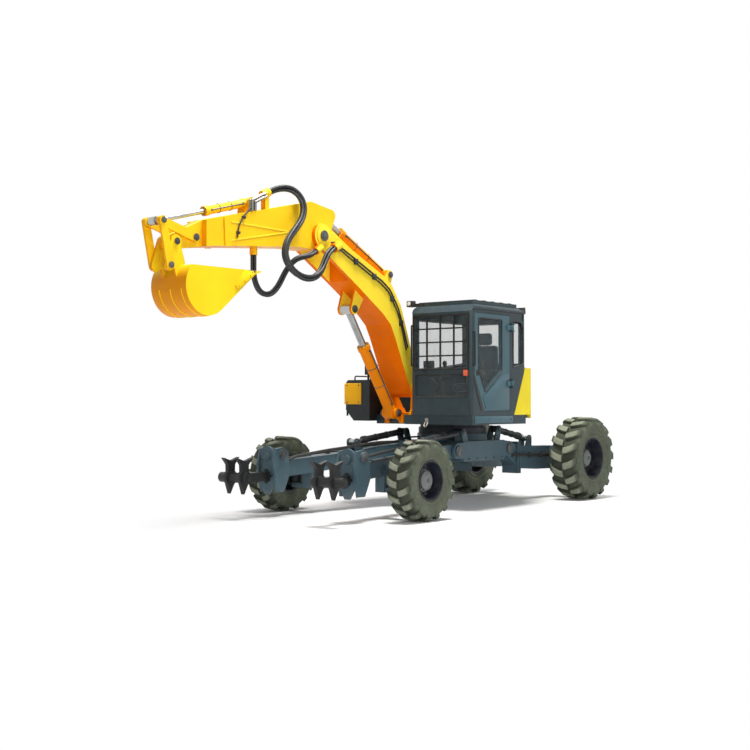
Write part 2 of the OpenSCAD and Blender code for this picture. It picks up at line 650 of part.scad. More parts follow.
module cab_door() color("DarkSlateGray") {
  difference() {
    side(cab_y1 - wall, cab_y1) door_outline(0);
    side(cab_y1 - wall - 5, cab_y1 + 5) door_window();
  }
  for (h = [450, 1250]) {
    difference() {
      union() {
        upright(hinge_x, hinge_y, deck_top + h - 35, deck_top + h + 35, 22);
        translate([hinge_x, hinge_y - 22, deck_top + h - 35]) cube([110, 16, 70]);
        translate([hinge_x + 50, cab_y1 - 10, deck_top + h - 35]) cube([60, 30, 70]);
      }
      upright(hinge_x, hinge_y, deck_top + h - 45, deck_top + h + 45, 12 + fit);
    }
  }
}
module door_glass() color("LightBlue") {
  side(cab_y1 - wall / 2, cab_y1 - wall / 2 + glass_t) door_window();
}

// Boom

module boom_outline() {
  translate(foot) circle(115);
  translate(tip) circle(165);
  polygon([[640, 1740], [1000, 2680], [1090, 2900], [1300, 3180], [1480, 3290], [2200, 3600], [2690, 3860],
    [2850, 3570], [2000, 3070], [1500, 2760], [1330, 2620], [1230, 2450], [860, 1690]]);
}
module boom() color("Orange") {
  half = boom_w / 2;
  slot = arm_w / 2 + side_gap;
  difference() {
    side(boom_y - half, boom_y + half) boom_outline();
    side(boom_y - slot, boom_y + slot) polygon([[2180, 3000], [3200, 3000], [3200, 4200], [2180, 4200]]);
    pin(foot, boom_y - half - 5, boom_y + half + 5, boom_pin_r + fit);
  }
  pin(tip, boom_y - half - 20, boom_y + half + 20, boom_pin_r);
  pair(boom_y, boom_lug, plate_t) link_shape(boom_eye, 75, [1880, 3050], 110);
  pair(boom_y, arm_lug, plate_t) link_shape(arm_base, 68, [1320, 3140], 110);
  pin(arm_base, boom_y - arm_lug - plate_t - 15, boom_y + arm_lug + plate_t + 15, 34);
  clamp(hose_upper_pts[0], hose_upper_pts[1], -130, 50);
  clamp(hose_lower_pts[0], hose_lower_pts[1], -150, 42);
}
module boom_barrel() color("Orange") barrel(boom_base, boom_eye, boom_y, 82, 1150, 50, boom_lug - 5, 38);
module boom_rod() color("Silver")
  piston(boom_base, boom_eye, boom_y, 50, 950, 68, boom_lug - 8, 38, boom_lug - 3);
module hose_upper() color("Black") tube(hose_upper_pts, 50, 10);
module hose_lower() color("Black") tube(hose_lower_pts, 42, 10);

// Arm and bucket

module arm_outline() {
  translate(tip) circle(185);
  translate(arm_eye) circle(85);
  translate(bucket_pivot) circle(90);
  polygon([[2740, 3540], [3280, 3530], [4510, 3420], [4810, 3386], [5260, 3310], [5320, 3470],
    [4810, 3710], arm_top_b, arm_top_a, [2560, 4104], [2466, 4010], [2600, 3700]]);
}
module arm() color("Orange") {
  half = arm_w / 2;
  difference() {
    side(boom_y - half, boom_y + half) arm_outline();
    pair(boom_y, nose_w / 2, 200) polygon([[4830, 3000], [6000, 3000], [6000, 4200], [4830, 4200]]);
    side(boom_y - arm_lug, boom_y + arm_lug) polygon([[2300, 3920], [2600, 3810], [2870, 3845], [2970, 4300],
      [2300, 4300]]);
    pin(tip, boom_y - half - 5, boom_y + half + 5, boom_pin_r + fit);
    pin(bucket_pivot, boom_y - half - 5, boom_y + half + 5, bucket_pin_r + fit);
  }
  pair(boom_y, half, 14) polygon([[4430, 3420], [4530, 3410], [4550, 3765], [4450, 3790]]);
  pin(rocker_pivot, boom_y - rocker_y - rocker_t - 10, boom_y + rocker_y + rocker_t + 10, bucket_pin_r);
  pair(boom_y, bucket_lug, plate_t) link_shape(bucket_base, 62, [3980, 3850], 80);
  pin(bucket_base, boom_y - bucket_lug - plate_t - 12, boom_y + bucket_lug + plate_t + 12, 30);
  // Clamps of the hoses on the top and the underside
  a = hose_upper_pts[len(hose_upper_pts) - 1];
  b = hose_lower_pts[len(hose_lower_pts) - 1];
  clamp(a, hose_upper_pts[len(hose_upper_pts) - 2], a[1], 50);
  translate([a[0] + 20, a[1] - 40, 3900]) cube([70, 80, a[2] - 3900]);
  clamp(b, hose_lower_pts[len(hose_lower_pts) - 2], b[1], 42);
}
module arm_pipes() color("Silver") {
  last = hose_upper_pts[len(hose_upper_pts) - 1];
  before = hose_upper_pts[len(hose_upper_pts) - 2];
  run = unit([last[0] - before[0], last[2] - before[2]]);
  face = [last[0], last[2]] + run * (120 + 3 * fit);
  for (h = [-20, 20], y = [135, 176]) {
    a = face + h * [-run[1], run[0]];
    b = a + run * (250 + h);
    bar(a, b, boom_y + y, pipe_r);
    translate([b[0], boom_y + y, b[1]]) sphere(r = pipe_r + 4);
    t = (b[0] - arm_top_a[0]) / (arm_top_b[0] - arm_top_a[0]);
    upright(b[0], boom_y + y, arm_top(t, 0)[1] + 8, b[1], pipe_r);
  }
}
module arm_barrel() color("Orange") barrel(arm_base, arm_eye, boom_y, 70, 1120, 42, arm_lug - 5, 34);
module arm_rod() color("Silver") piston(arm_base, arm_eye, boom_y, 42, 900, 64, arm_lug - 8, 34, arm_lug - 3);

bowl = [4930, 2890];
bowl_r = 350;
lip = [4150, 3110];
module bucket_section(t) link_shape(bowl, bowl_r - t, lip, 26 - t / 2);
module bucket() color("Gold") {
  half = bucket_w / 2;
  difference() {
    union() {
      difference() {
        side(boom_y - half, boom_y + half) bucket_section(0);
        side(boom_y - half - 5, boom_y + half + 5)
          polygon([[3900, 3140], [5600, 3120], [5600, 3600], [3900, 3600]]);
      }
      pair(boom_y, rocker_y, 35) union() {
        link_shape(bucket_pivot, 78, ear_pin, 66);
        polygon([[5210, 3390], [5120, 3110], [5150, 2900], [5262, 2960], [5300, 3080], [5400, 3050],
          [5330, 3380]]);
      }
      for (k = [0:teeth - 1]) {
        y = boom_y - half + 30 + k * (bucket_w - 60) / (teeth - 1);
        side(y - 30, y + 30) polygon([[4220, 3060], [4220, 3128], [4040, 3140], [4030, 3128]]);
      }
    }
    side(boom_y - half + 22, boom_y + half - 22) bucket_section(22);
  }
  pin(bucket_pivot, boom_y - rocker_y - 50, boom_y + rocker_y + 50, bucket_pin_r);
}
module rocker() color("Orange") {
  pair(boom_y, rocker_y, rocker_t) difference() {
    link_shape(rocker_pivot, 58, rocker_pin, link_end_r);
    translate(rocker_pivot) circle(bucket_pin_r + fit);
  }
  pair(boom_y, rocker_y + rocker_t, side_gap + link_t + 12) translate(rocker_pin) circle(bucket_pin_r - 4);
}
module bucket_link() color("Orange") {
  pair(boom_y, link_y, link_t) difference() {
    link_shape(rocker_pin, link_end_r, ear_pin, 56);
    translate(rocker_pin) circle(bucket_pin_r - 4 + fit);
  }
  pair(boom_y, link_y + link_t, 14) translate(ear_pin) circle(bucket_pin_r);
}
module bucket_barrel() color("Orange")
  barrel(bucket_base, rocker_pin, boom_y, 52, 770, 30, bucket_lug - 5, 30);
module bucket_rod() color("Silver")
  piston(bucket_base, rocker_pin, boom_y, 30, 900, 52, bucket_lug - 8, 30, rocker_y - 3);

// The origin lies on the ground under the middle of the overall length
module placed() translate([-frame_shift, 0, 0]) children();

placed() chassis_frame();
placed() slew_ring();
placed() tow_lug();
placed() front_leg_left();
placed() front_leg_right();
placed() rear_leg_left();
placed() rear_leg_right();
placed() claw_left();
placed() claw_right();
placed() front_barrel_left();
placed() front_barrel_right();
placed() rear_barrel_left();
placed() rear_barrel_right();
placed() front_rod_left();
placed() front_rod_right();
placed() rear_rod_left();
placed() rear_rod_right();
placed() front_knuckle_left();
placed() front_knuckle_right();
placed() rear_knuckle_left();
placed() rear_knuckle_right();
placed() front_rim_left();
placed() front_rim_right();
placed() rear_rim_left();
placed() rear_rim_right();
placed() front_tyre_left();
placed() front_tyre_right();
placed() rear_tyre_left();
placed() rear_tyre_right();
placed() swing_deck();
placed() boom_mast();
placed() engine_block();
placed() engine_hood();
placed() counterweight();
placed() tank();
placed() tank_cover();
placed() cab_frame();
placed() cab_glass();
placed() window_guard();
placed() operator_seat();
placed() control_consoles();
placed() work_lamps();
placed() marker_lamp();
placed() handrails();
placed() cab_door();
placed() door_glass();
placed() boom();
placed() hose_upper();
placed() hose_lower();
placed() boom_barrel();
placed() boom_rod();
placed() arm();
placed() arm_pipes();
placed() arm_barrel();
placed() arm_rod();
placed() bucket();
placed() rocker();
placed() bucket_link();
placed() bucket_barrel();
placed() bucket_rod();
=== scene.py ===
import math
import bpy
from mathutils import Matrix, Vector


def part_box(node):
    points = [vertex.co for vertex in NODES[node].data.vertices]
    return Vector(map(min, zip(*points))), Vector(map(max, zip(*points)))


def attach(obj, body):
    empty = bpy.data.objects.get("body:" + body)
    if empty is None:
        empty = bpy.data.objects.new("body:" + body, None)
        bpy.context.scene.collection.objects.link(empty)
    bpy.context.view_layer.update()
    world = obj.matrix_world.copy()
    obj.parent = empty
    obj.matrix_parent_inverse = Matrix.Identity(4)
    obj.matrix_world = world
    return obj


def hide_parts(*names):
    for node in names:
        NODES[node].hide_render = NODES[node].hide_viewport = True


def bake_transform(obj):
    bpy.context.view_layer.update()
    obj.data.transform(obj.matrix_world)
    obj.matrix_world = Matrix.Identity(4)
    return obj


bl_info = {
    "name": "Walking excavator",
    "version": (1, 0, 0),
    "blender": (4, 5, 0),
    "location": "View3D > Sidebar > Excavator",
    "description": "Finishes and fittings of a walking excavator on wheeled legs",
    "category": "Object",
}

import bmesh
import bpy
from mathutils import Vector

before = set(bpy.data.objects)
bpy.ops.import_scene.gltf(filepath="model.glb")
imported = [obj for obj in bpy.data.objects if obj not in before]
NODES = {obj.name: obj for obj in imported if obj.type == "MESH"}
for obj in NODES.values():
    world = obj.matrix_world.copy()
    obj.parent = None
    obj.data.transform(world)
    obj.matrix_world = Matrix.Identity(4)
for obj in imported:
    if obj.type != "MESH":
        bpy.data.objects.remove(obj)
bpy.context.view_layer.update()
SLEW_X = (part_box("slew_ring")[0][0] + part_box("slew_ring")[1][0]) / 2
SIDES = (("left", 1), ("right", -1))
FINISHES = {}

# Places are in millimetres: X ahead of the slew axis, Y to the left, Z over the ground.
# Heights of the deck, the cab roof, the hood and the tank
DECK = 1330.3
ROOF = 2930.3
HOOD = 2020.3
TANK = 1840.3
# Middle of the boom, the arm and the bucket
BOOM_Y = -360
# Cross pins, and the two ends of each cylinder, as X and Z
BOOM_PIN = (750, 1700)
BOOM_LIFT = ((1020, 1360), (2000, 2800))
ARM_PIN = (2780, 3720)
ARM_LIFT = ((1200, 3340), (2550, 4020))
BUCKET_LIFT = ((3980, 4030), (5500, 3620))
ROCKER_PIN = (4960, 3480)
BUCKET_PIN = (5270, 3400)
LINK_PIN = (5385, 3110)
LEG_PINS = ((720, 820), (-620, 820))
FRONT_LIFT = ((540, 1080), (1700, 950))
REAR_LIFT = ((-480, 1110), (-1350, 950))
# Distance of the leg cylinders and of the claw feet from the middle
FRONT_LIFT_Y = 510
REAR_LIFT_Y = 450
CLAW_Y = 690
# Kingpins as X and Y
FRONT_KING = (2420, 930)
REAR_KING = (-1980, 760)
# Middle of the bucket's round back, as X and Z
BUCKET_BACK = (4930, 2890)
# End, X, half track, diameter, width, rim and number of lugs in a row
WHEELS = (("front", 2420, 1210, 1040, 390, 520, 15), ("rear", -1980, 1090, 1280, 490, 640, 16))


def at(x, y, z):
    """A place in metres from its millimetres."""
    return Vector((SLEW_X + x / 1000, y / 1000, z / 1000))


def each(pattern):
    """Names of the four pieces of a kind, from a pattern of end and side."""
    return tuple(pattern % (end, side) for end in ("front", "rear") for side, _ in SIDES)


# Finishes


class Wire:
    """An output of a node that takes part in sums and products."""

    def __init__(self, nodes, node, out):
        self.nodes = nodes
        self.node = node
        self.socket = node.outputs[out] if node.outputs else None

    def _math(self, operation, a, b):
        return self.nodes.node("ShaderNodeMath", {"operation": operation}, {0: a, 1: b})

    def __add__(self, other):
        return self._math("ADD", self, other)

    def __sub__(self, other):
        return self._math("SUBTRACT", self, other)

    def __mul__(self, other):
        return self._math("MULTIPLY", self, other)

    def __truediv__(self, other):
        return self._math("DIVIDE", self, other)

    def __radd__(self, other):
        return self._math("ADD", other, self)

    def __rsub__(self, other):
        return self._math("SUBTRACT", other, self)

    def __rmul__(self, other):
        return self._math("MULTIPLY", other, self)

    def __rtruediv__(self, other):
        return self._math("DIVIDE", other, self)


class Nodes:
    """A node tree, whose nodes are all added by one method."""

    def __init__(self, tree):
        self.tree = tree
        tree.nodes.clear()

    def put(self, node, sockets):
        """Set or link the sockets of a node."""
        for key, value in sockets.items():
            if isinstance(value, Wire):
                self.tree.links.new(value.socket, node.inputs[key])
            else:
                node.inputs[key].default_value = value

    def node(self, kind, settings=None, sockets=None, out=0):
        """Add a node by its type, settings and sockets, and give one of its outputs."""
        node = self.tree.nodes.new(kind)
        for key, value in (settings or {}).items():
            setattr(node, key, value)
        self.put(node, sockets or {})
        return Wire(self, node, out)

    def seen(self):
        """One for a ray that looks, straight, by a mirror or through glass, and nought for light."""
        rays = [self.node("ShaderNodeLightPath", out=ray)
            for ray in ("Is Camera Ray", "Is Glossy Ray", "Is Transmission Ray")]
        return self.node("ShaderNodeMath", {"operation": "MINIMUM"}, {0: rays[0] + rays[1] + rays[2], 1: 1.0})


class Finish(Nodes):
    """A material with its nodes."""

    def __init__(self, name):
        self.material = bpy.data.materials.new(name)
        self.material.use_nodes = True
        super().__init__(self.material.node_tree)
        self.shader = self.node("ShaderNodeBsdfPrincipled")
        self.output = self.node("ShaderNodeOutputMaterial", None, {0: self.shader})
        FINISHES[name] = self.material

    def surface(self, **sockets):
        """Set or link the sockets of the shader."""
        self.put(self.shader.node, {key.replace("_", " "): value for key, value in sockets.items()})

    def place(self, stretch=(1, 1, 1), shift=(0, 0, 0)):
        """The place on the piece."""
        where = self.node("ShaderNodeTexCoord", out=3)
        return self.node("ShaderNodeMapping", None, {0: where, 1: shift, 3: stretch})

    def facing(self, axis):
        """How far the surface faces along an axis."""
        return self.part(self.node("ShaderNodeTexCoord", out=1), axis)

    def noise(self, scale, detail=4.0, roughness=0.55, stretch=(1, 1, 1)):
        return self.node("ShaderNodeTexNoise", None,
            {"Vector": self.place(stretch), "Scale": scale, "Detail": detail, "Roughness": roughness})

    def part(self, vector, axis):
        return self.node("ShaderNodeSeparateXYZ", None, {0: vector}, out=axis)

    def length(self, vector):
        return self.node("ShaderNodeVectorMath", {"operation": "LENGTH"}, {0: vector}, out=1)

    def step(self, value, low, high):
        """Nought below the low value, one over the high one, and smooth between."""
        return self.node("ShaderNodeMapRange", {"interpolation_type": "SMOOTHSTEP"},
            {0: value, 1: low, 2: high, 3: 0.0, 4: 1.0})

    def mix(self, share, a, b):
        return self.node("ShaderNodeMix", {"data_type": "RGBA"}, {0: share, 6: a, 7: b}, out=2)

    def bump(self, height, strength, distance):
        return self.node("ShaderNodeBump", None, {"Height": height, "Strength": strength, "Distance": distance})


def shade(colour, factor=1.0):
    """A colour with its alpha, darker or paler by a factor."""
    return (colour[0] * factor, colour[1] * factor, colour[2] * factor, 1.0)


def paint(name, colour, top=None, side=None, gloss=0.36, dust=0.25, dust_below=0.0, chips=0.35, shine=0.3, hub=None,
        lean=0.0):
    """Sprayed paint with dust, chips and orange peel, and its own tone on a hub. A top or side colour is painted
    light: it makes the faces that look up or sideways lighter, as if lit, and leaves the base colour as painted
    shade on the faces turned down.
    """
    chip_colour = (0.07, 0.06, 0.05, 1.0)
    dust_colour = (0.30, 0.265, 0.20, 1.0)
    f = Finish(name)
    broad = f.step(f.noise(1.1, 3.0), 0.35, 0.7)
    fine = f.noise(9.0, 6.0, 0.62)
    tone = f.mix(broad, shade(colour, 0.9), shade(colour, 1.06))
    up = f.facing(2)
    # Painted light: the flanks take a lighter colour, as if lit from the side.
    if side:
        flank = f.node("ShaderNodeMath", {"operation": "ABSOLUTE"}, {0: f.facing(1)})
        lit_flank_tone = f.mix(broad, shade(side, 0.92), shade(side, 1.04))
        tone = f.mix(f.step(flank, 0.45, 0.9), tone, lit_flank_tone)
    # Painted light: faces that look up take a lighter colour, as if lit from above. With a lean, faces that look
    # back do too.
    if top:
        tone = f.mix(f.step(up - f.facing(0) * lean, 0.15, 0.75), tone, shade(top))
    if hub:
        axle, size, pale = hub
        reach = f.length(f.place((1, 0, 1), (-axle.x, 0, -axle.z)))
        tone = f.mix(f.step(reach, size, size + 0.004), shade(pale), tone)
    scuffs = f.step(f.noise(26.0, 7.0, 0.68), 0.66, 0.74) * f.step(f.noise(2.3, 2.0), 0.48, 0.62)
    tone = f.mix(scuffs * chips, tone, chip_colour)
    streaks = f.step(f.noise(5.0, 5.0, 0.6, (1.0, 1.0, 0.12)), 0.52, 0.75)
    film = f.step(fine, 0.42, 0.72) * dust * (0.35 + 0.65 * f.step(up, -0.1, 0.8)) + streaks * (dust * 0.3)
    if dust_below:
        height = f.part(f.place(), 2)
        film = film + (1.0 - f.step(height, 0.1, dust_below)) * f.step(fine, 0.3, 0.62) * 0.6
    f.surface(Base_Color=f.mix(film, tone, dust_colour), Roughness=gloss + film * 0.55 + scuffs * 0.3,
        Specular_IOR_Level=shine, Normal=f.bump(f.noise(160.0, 2.0) + scuffs * -0.6, 0.06, 0.002))


def cast(name, colour, gloss=0.55, metal=0.6, dust=0.2):
    """Dark machined or cast steel with grease and dust."""
    dust_colour = (0.28, 0.25, 0.19, 1.0)
    f = Finish(name)
    broad = f.noise(3.0, 4.0)
    tone = f.mix(f.step(broad, 0.35, 0.65), shade(colour, 0.7), shade(colour, 1.25))
    film = f.step(f.noise(11.0, 6.0), 0.45, 0.75) * dust
    f.surface(Base_Color=f.mix(film, tone, dust_colour), Metallic=metal * (1.0 - film),
        Roughness=gloss + broad * 0.15 + film * 0.3, Normal=f.bump(f.noise(70.0, 4.0, 0.6), 0.12, 0.003))


def chrome(name):
    """Oiled chrome of the rods."""
    bright, oily = (0.46, 0.47, 0.46, 1.0), (0.27, 0.27, 0.24, 1.0)
    f = Finish(name)
    film = f.step(f.noise(6.0, 4.0), 0.45, 0.8)
    f.surface(Base_Color=f.mix(film * 0.5, bright, oily), Metallic=1.0, Roughness=0.3 + film * 0.15)


def tread(name, colour, dusty):
    """Worn tyre rubber, pale with dry mud on the lugs, which also stands as a painted highlight on their tops, and
    darkened by painted shade in the grooves between them.
    """
    f = Finish(name)
    rise = f.node("ShaderNodeAttribute", {"attribute_name": "rise"}, out=2)
    fine = f.noise(30.0, 7.0, 0.68)
    broad = f.noise(5.0, 4.0, 0.6)
    # Painted shade on the floor of the grooves between the lugs.
    painted_groove_shade = f.step(rise, -0.55, 0.05) * (1.0 - f.step(rise, 0.1, 0.85))
    mud = f.step(fine * 0.6 + broad * 0.5, 0.38, 0.78)
    tone = f.mix(mud, shade(colour), shade(colour, 1.9))
    # Pale dust on the lug tops, which also serves as a painted highlight.
    tone = f.mix(f.step(rise, 0.7, 1.0) * (0.45 + 0.5 * mud), tone, shade(dusty))
    tone = f.mix(painted_groove_shade * 0.7, tone, shade(colour, 0.35))
    f.surface(Base_Color=tone, Roughness=0.8 + mud * 0.15,
        Normal=f.bump(fine + f.noise(120.0, 3.0) * 0.4, 0.22, 0.006))


def rubber(name, colour, dust, gloss):
    """Black rubber and plastic of trim and lines, with a little dust."""
    dust_colour = (0.40, 0.385, 0.29, 1.0)
    f = Finish(name)
    broad = f.noise(2.6, 3.0)
    film = f.step(f.noise(16.0, 7.0, 0.66) * 0.7 + broad * 0.4, 0.42, 0.72) * dust
    tone = f.mix(film, f.mix(broad, shade(colour, 0.75), shade(colour, 1.2)), dust_colour)
    f.surface(Base_Color=tone, Roughness=gloss + film * 0.22, Normal=f.bump(f.noise(90.0, 4.0), 0.16, 0.004))


def glass(name, colour, alpha):
    """Tinted window glass with smears that run down."""
    smear_colour = (0.42, 0.44, 0.42, 1.0)
    f = Finish(name)
    smear = f.step(f.noise(4.0, 6.0, 0.6, (1.0, 1.0, 0.35)), 0.45, 0.8)
    f.surface(Base_Color=f.mix(smear * 0.25, shade(colour), smear_colour), Roughness=0.04 + smear * 0.10,
        Alpha=alpha + smear * 0.04, Coat_Weight=0.5)


def weave(name, colour):
    """Woven seat cover with crossing threads."""
    worn_colour = (0.16, 0.15, 0.13, 1.0)
    f = Finish(name)
    where = f.place()
    lines = [f.node("ShaderNodeTexWave", {"bands_direction": axis}, {"Vector": where, "Scale": 95.0}, out=1)
        for axis in ("X", "Y", "Z")]
    threads = (lines[0] + lines[1] + lines[2]) / 3.0
    tone = f.mix(threads, shade(colour, 0.6), shade(colour, 1.5))
    tone = f.mix(f.step(f.noise(5.0, 4.0), 0.5, 0.8) * 0.3, tone, worn_colour)
    f.surface(Base_Color=tone, Roughness=0.9, Sheen_Weight=0.3, Normal=f.bump(threads, 0.4, 0.002))


def sleeve(name):
    """Black hose with a wound cover that follows its length."""
    black, dirty = (0.012, 0.014, 0.016, 1.0), (0.10, 0.095, 0.08, 1.0)
    f = Finish(name)
    along = f.node("ShaderNodeAttribute", {"attribute_name": "along"}, out=2)
    turns = f.node("ShaderNodeMath", {"operation": "SINE"}, {0: along * 420.0})
    dirt = f.step(f.noise(13.0, 6.0), 0.48, 0.78)
    f.surface(Base_Color=f.mix(dirt * 0.3, black, dirty), Roughness=0.42 + dirt * 0.3,
        Normal=f.bump(turns, 0.25, 0.002))


def lens(name, colour):
    """Fluted lamp glass."""
    f = Finish(name)
    flutes = f.node("ShaderNodeTexWave", {"bands_direction": "Z"}, {"Vector": f.place(), "Scale": 28.0}, out=1)
    f.surface(Base_Color=f.mix(flutes * 0.4, shade(colour), shade(colour, 0.6)), Roughness=0.12 + flutes * 0.06,
        Coat_Weight=0.6, Normal=f.bump(flutes, 0.25, 0.002))


# Modelling


def apart():
    """Leave edit mode with nothing selected."""
    if bpy.context.mode != "OBJECT":
        bpy.ops.object.mode_set(mode="OBJECT")
    bpy.ops.object.select_all(action="DESELECT")


def pick(obj):
    """Make an object the only one that operators act on."""
    apart()
    obj.select_set(True)
    bpy.context.view_layer.objects.active = obj


def turn_to(direction):
    """The turn that lays an upright piece along a direction."""
    return Vector((0, 0, 1)).rotation_difference(Vector(direction)).to_euler()


def pipe(name, path, r, resolution, closed=False):
    """A round tube along a path, made a mesh."""
    curve = bpy.data.curves.new(name, "CURVE")
    curve.dimensions = "3D"
    spline = curve.splines.new("POLY")
    spline.points.add(len(path) - 1)
    for point, place in zip(spline.points, path):
        point.co = (*place, 1)
    spline.use_cyclic_u = closed
    curve.bevel_depth = r
    curve.bevel_resolution = resolution
    curve.use_fill_caps = True
    obj = bpy.data.objects.new(name, curve)
    bpy.context.scene.collection.objects.link(obj)
    pick(obj)
    bpy.ops.object.convert(target="MESH")
    return bpy.context.view_layer.objects.active


class Piece:
    """One new piece, built from primitives in edit mode."""

    def __init__(self, name):
        self.obj = bpy.data.objects.new(name, bpy.data.meshes.new(name))
        bpy.context.scene.collection.objects.link(self.obj)
        self.extra = []
        pick(self.obj)
        bpy.ops.object.mode_set(mode="EDIT")
        bpy.ops.mesh.select_mode(type="VERT")

    def clear(self):
        """Hide what is there, so that the next steps act on what they add."""
        bpy.ops.mesh.select_all(action="SELECT")
        bpy.ops.mesh.hide(unselected=False)

    def soften(self, width, segments=2, sharp=35):
        """Rounds the sharp edges of what was added last."""
        if width <= 0:
            return
        bpy.ops.mesh.select_mode(type="EDGE")
        bpy.ops.mesh.select_all(action="DESELECT")
        bpy.ops.mesh.edges_select_sharp(sharpness=math.radians(sharp))
        bpy.ops.mesh.bevel(offset=width / 1000, segments=segments, affect="EDGES", clamp_overlap=True)
        bpy.ops.mesh.select_mode(type="VERT")

    def block(self, low, high, soft=4, segments=2, turn=(0, 0, 0)):
        """A box between two corners."""
        self.clear()
        a, b = at(*map(min, low, high)), at(*map(max, low, high))
        bpy.ops.mesh.primitive_cube_add(size=1, location=(a + b) / 2, rotation=turn, scale=b - a)
        self.soften(soft, segments)

    def bar(self, p, q, r, sides=20, soft=2, r2=None):
        """A round or many-sided bar, or a cone where it has a second radius."""
        self.clear()
        a, b = at(*p), at(*q)
        where = {"depth": (b - a).length, "location": (a + b) / 2, "rotation": turn_to(b - a)}
        if r2 is None:
            bpy.ops.mesh.primitive_cylinder_add(vertices=sides, radius=r / 1000, **where)
        else:
            bpy.ops.mesh.primitive_cone_add(vertices=sides, radius1=r / 1000, radius2=r2 / 1000, **where)
        self.soften(soft, 2, 50)

    def ball(self, p, r):
        self.clear()
        bpy.ops.mesh.primitive_uv_sphere_add(segments=20, ring_count=12, radius=r / 1000, location=at(*p))

    def side_plate(self, outline, y, thick, soft=3):
        """A flat outline of X and Z, pushed out sideways."""
        self.clear()
        bpy.ops.mesh.primitive_circle_add(vertices=len(outline), radius=1, fill_type="NGON")
        bm = bmesh.from_edit_mesh(self.obj.data)
        for v, (x, z) in zip([v for v in bm.verts if v.select], outline):
            v.co = at(x, y, z)
        bmesh.update_edit_mesh(self.obj.data)
        bpy.ops.mesh.extrude_region_move(TRANSFORM_OT_translate={"value": Vector((0, thick, 0)) / 1000})
        bpy.ops.mesh.select_all(action="SELECT")
        bpy.ops.mesh.normals_make_consistent(inside=False)
        self.soften(soft)

    def bolt(self, p, direction, size):
        """Washer and six-sided head."""
        d = Vector(direction).normalized() * size
        a = Vector(p)
        self.bar(a - d * 0.2, a + d * 0.22, size * 1.15, 14, 0)
        self.bar(a, a + d * 0.95, size * 0.85, 6, size * 0.12)

    def bolt_ring(self, centre, direction, r, count, size, turn=0.0):
        """Bolts on a circle round a line, the first one turned by a share of the step."""
        d = Vector(direction)
        u = Vector((0, 1, 0)) if d.x else Vector((1, 0, 0))
        v = Vector((0, 0, 1)) if d.y else d.cross(u)
        for k in range(count):
            a = math.tau * (k + turn) / count
            self.bolt(Vector(centre) + (u * math.cos(a) + v * math.sin(a)) * r, d, size)

    def cap(self, p, sign, r, thick=14):
        """Round cover with three keeper bolts on the end of a cross pin."""
        x, y, z = p
        face = y + thick * sign
        self.bar((x, y - 4 * sign, z), (x, face, z), r, 32, 4)
        self.bar((x, face, z), (x, face + 6 * sign, z), r * 0.55, 24, 2)
        self.bolt_ring((x, face, z), (0, sign, 0), r * 0.76, 3, r * 0.12, 0.75)

    def pin_caps(self, pin, middle, half, r, thick=14):
        """Covers on both ends of a cross pin, half its length from the middle."""
        for s in (-1, 1):
            self.cap((pin[0], middle + half * s, pin[1]), s, r, thick)

    def tube(self, points, r, sides=12, closed=False):
        """Round tube along points, kept for joining at the end."""
        path = [at(*p) for p in rounded(points, closed)]
        self.extra.append(pipe("line", path, r / 1000, max(0, sides // 4 - 1), closed))
        pick(self.obj)
        bpy.ops.object.mode_set(mode="EDIT")

    def gasket(self, points):
        """Round strip along the edge of a window."""
        self.tube(points, 10, 12, True)

    def grip(self, p, q, out, r):
        """Handle from one place to another that stands out from both."""
        p, q, out = Vector(p), Vector(q), Vector(out)
        self.tube([p, p + out, q + out, q], r)

    def lathe(self, profile, centre, steps=96):
        """Turns a closed profile of radius and sideways place about a wheel's axle."""
        self.clear()
        bm = bmesh.from_edit_mesh(self.obj.data)
        points = [bm.verts.new(at(centre[0], centre[1] + y, centre[2] + r)) for r, y in profile]
        for a, b in zip(points, points[1:] + points[:1]):
            bm.edges.new((a, b))
        bm.select_flush(False)
        for v in points:
            v.select = True
        for e in bm.edges:
            e.select = e.verts[0].select and e.verts[1].select
        bmesh.update_edit_mesh(self.obj.data)
        bpy.ops.mesh.spin(steps=steps, angle=math.tau, center=at(*centre), axis=(0, 1, 0))
        bpy.ops.mesh.select_all(action="SELECT")
        bpy.ops.mesh.remove_doubles(threshold=0.0002)
        bpy.ops.mesh.normals_make_consistent(inside=False)

    def done(self, body, finish, angle=40, nodes=()):
        """Join the tubes, give the piece its finish and ride it on its body."""
        bpy.ops.mesh.reveal(select=False)
        pick(self.obj)
        if self.extra:
            for tube in self.extra:
                tube.select_set(True)
            bpy.ops.object.join()
            pick(self.obj)
        bpy.ops.object.shade_smooth_by_angle(angle=math.radians(angle))
        self.obj.data.materials.clear()
        self.obj.data.materials.append(FINISHES[finish])
        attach(self.obj, body)
        if nodes:
            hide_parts(*nodes)
        apart()
        return self.obj


def drawn(points, n):
    """Smooth curve drawn by its points, from the first to the last."""
    p = [Vector(x) for x in points]
    q = [2 * p[0] - p[1]] + p + [2 * p[-1] - p[-2]]
    path = []
    for a, b, c, d in zip(q, q[1:], q[2:], q[3:]):
        for k in range(n):
            t = k / n
            path.append(((1 - t) ** 3 * a + (3 * t ** 3 - 6 * t * t + 4) * b
                + (3 * t * t - 3 * t ** 3 + 3 * t + 1) * c + t ** 3 * d) / 6)
    return path + [p[-1]]


def rounded(points, closed=False, cut=30.0, steps=4):
    """Corner points with each corner rounded off."""
    p = [Vector(x) for x in points]
    path = []
    for i, b in enumerate(p):
        if not closed and i in (0, len(p) - 1):
            path.append(b)
            continue
        a, c = p[i - 1], p[(i + 1) % len(p)]
        d = min(cut, (a - b).length * 0.45, (c - b).length * 0.45)
        u, v = b + (a - b).normalized() * d, b + (c - b).normalized() * d
        for k in range(steps + 1):
            t = k / steps
            path.append(u * (1 - t) ** 2 + b * 2 * t * (1 - t) + v * t * t)
    return path


# Settings


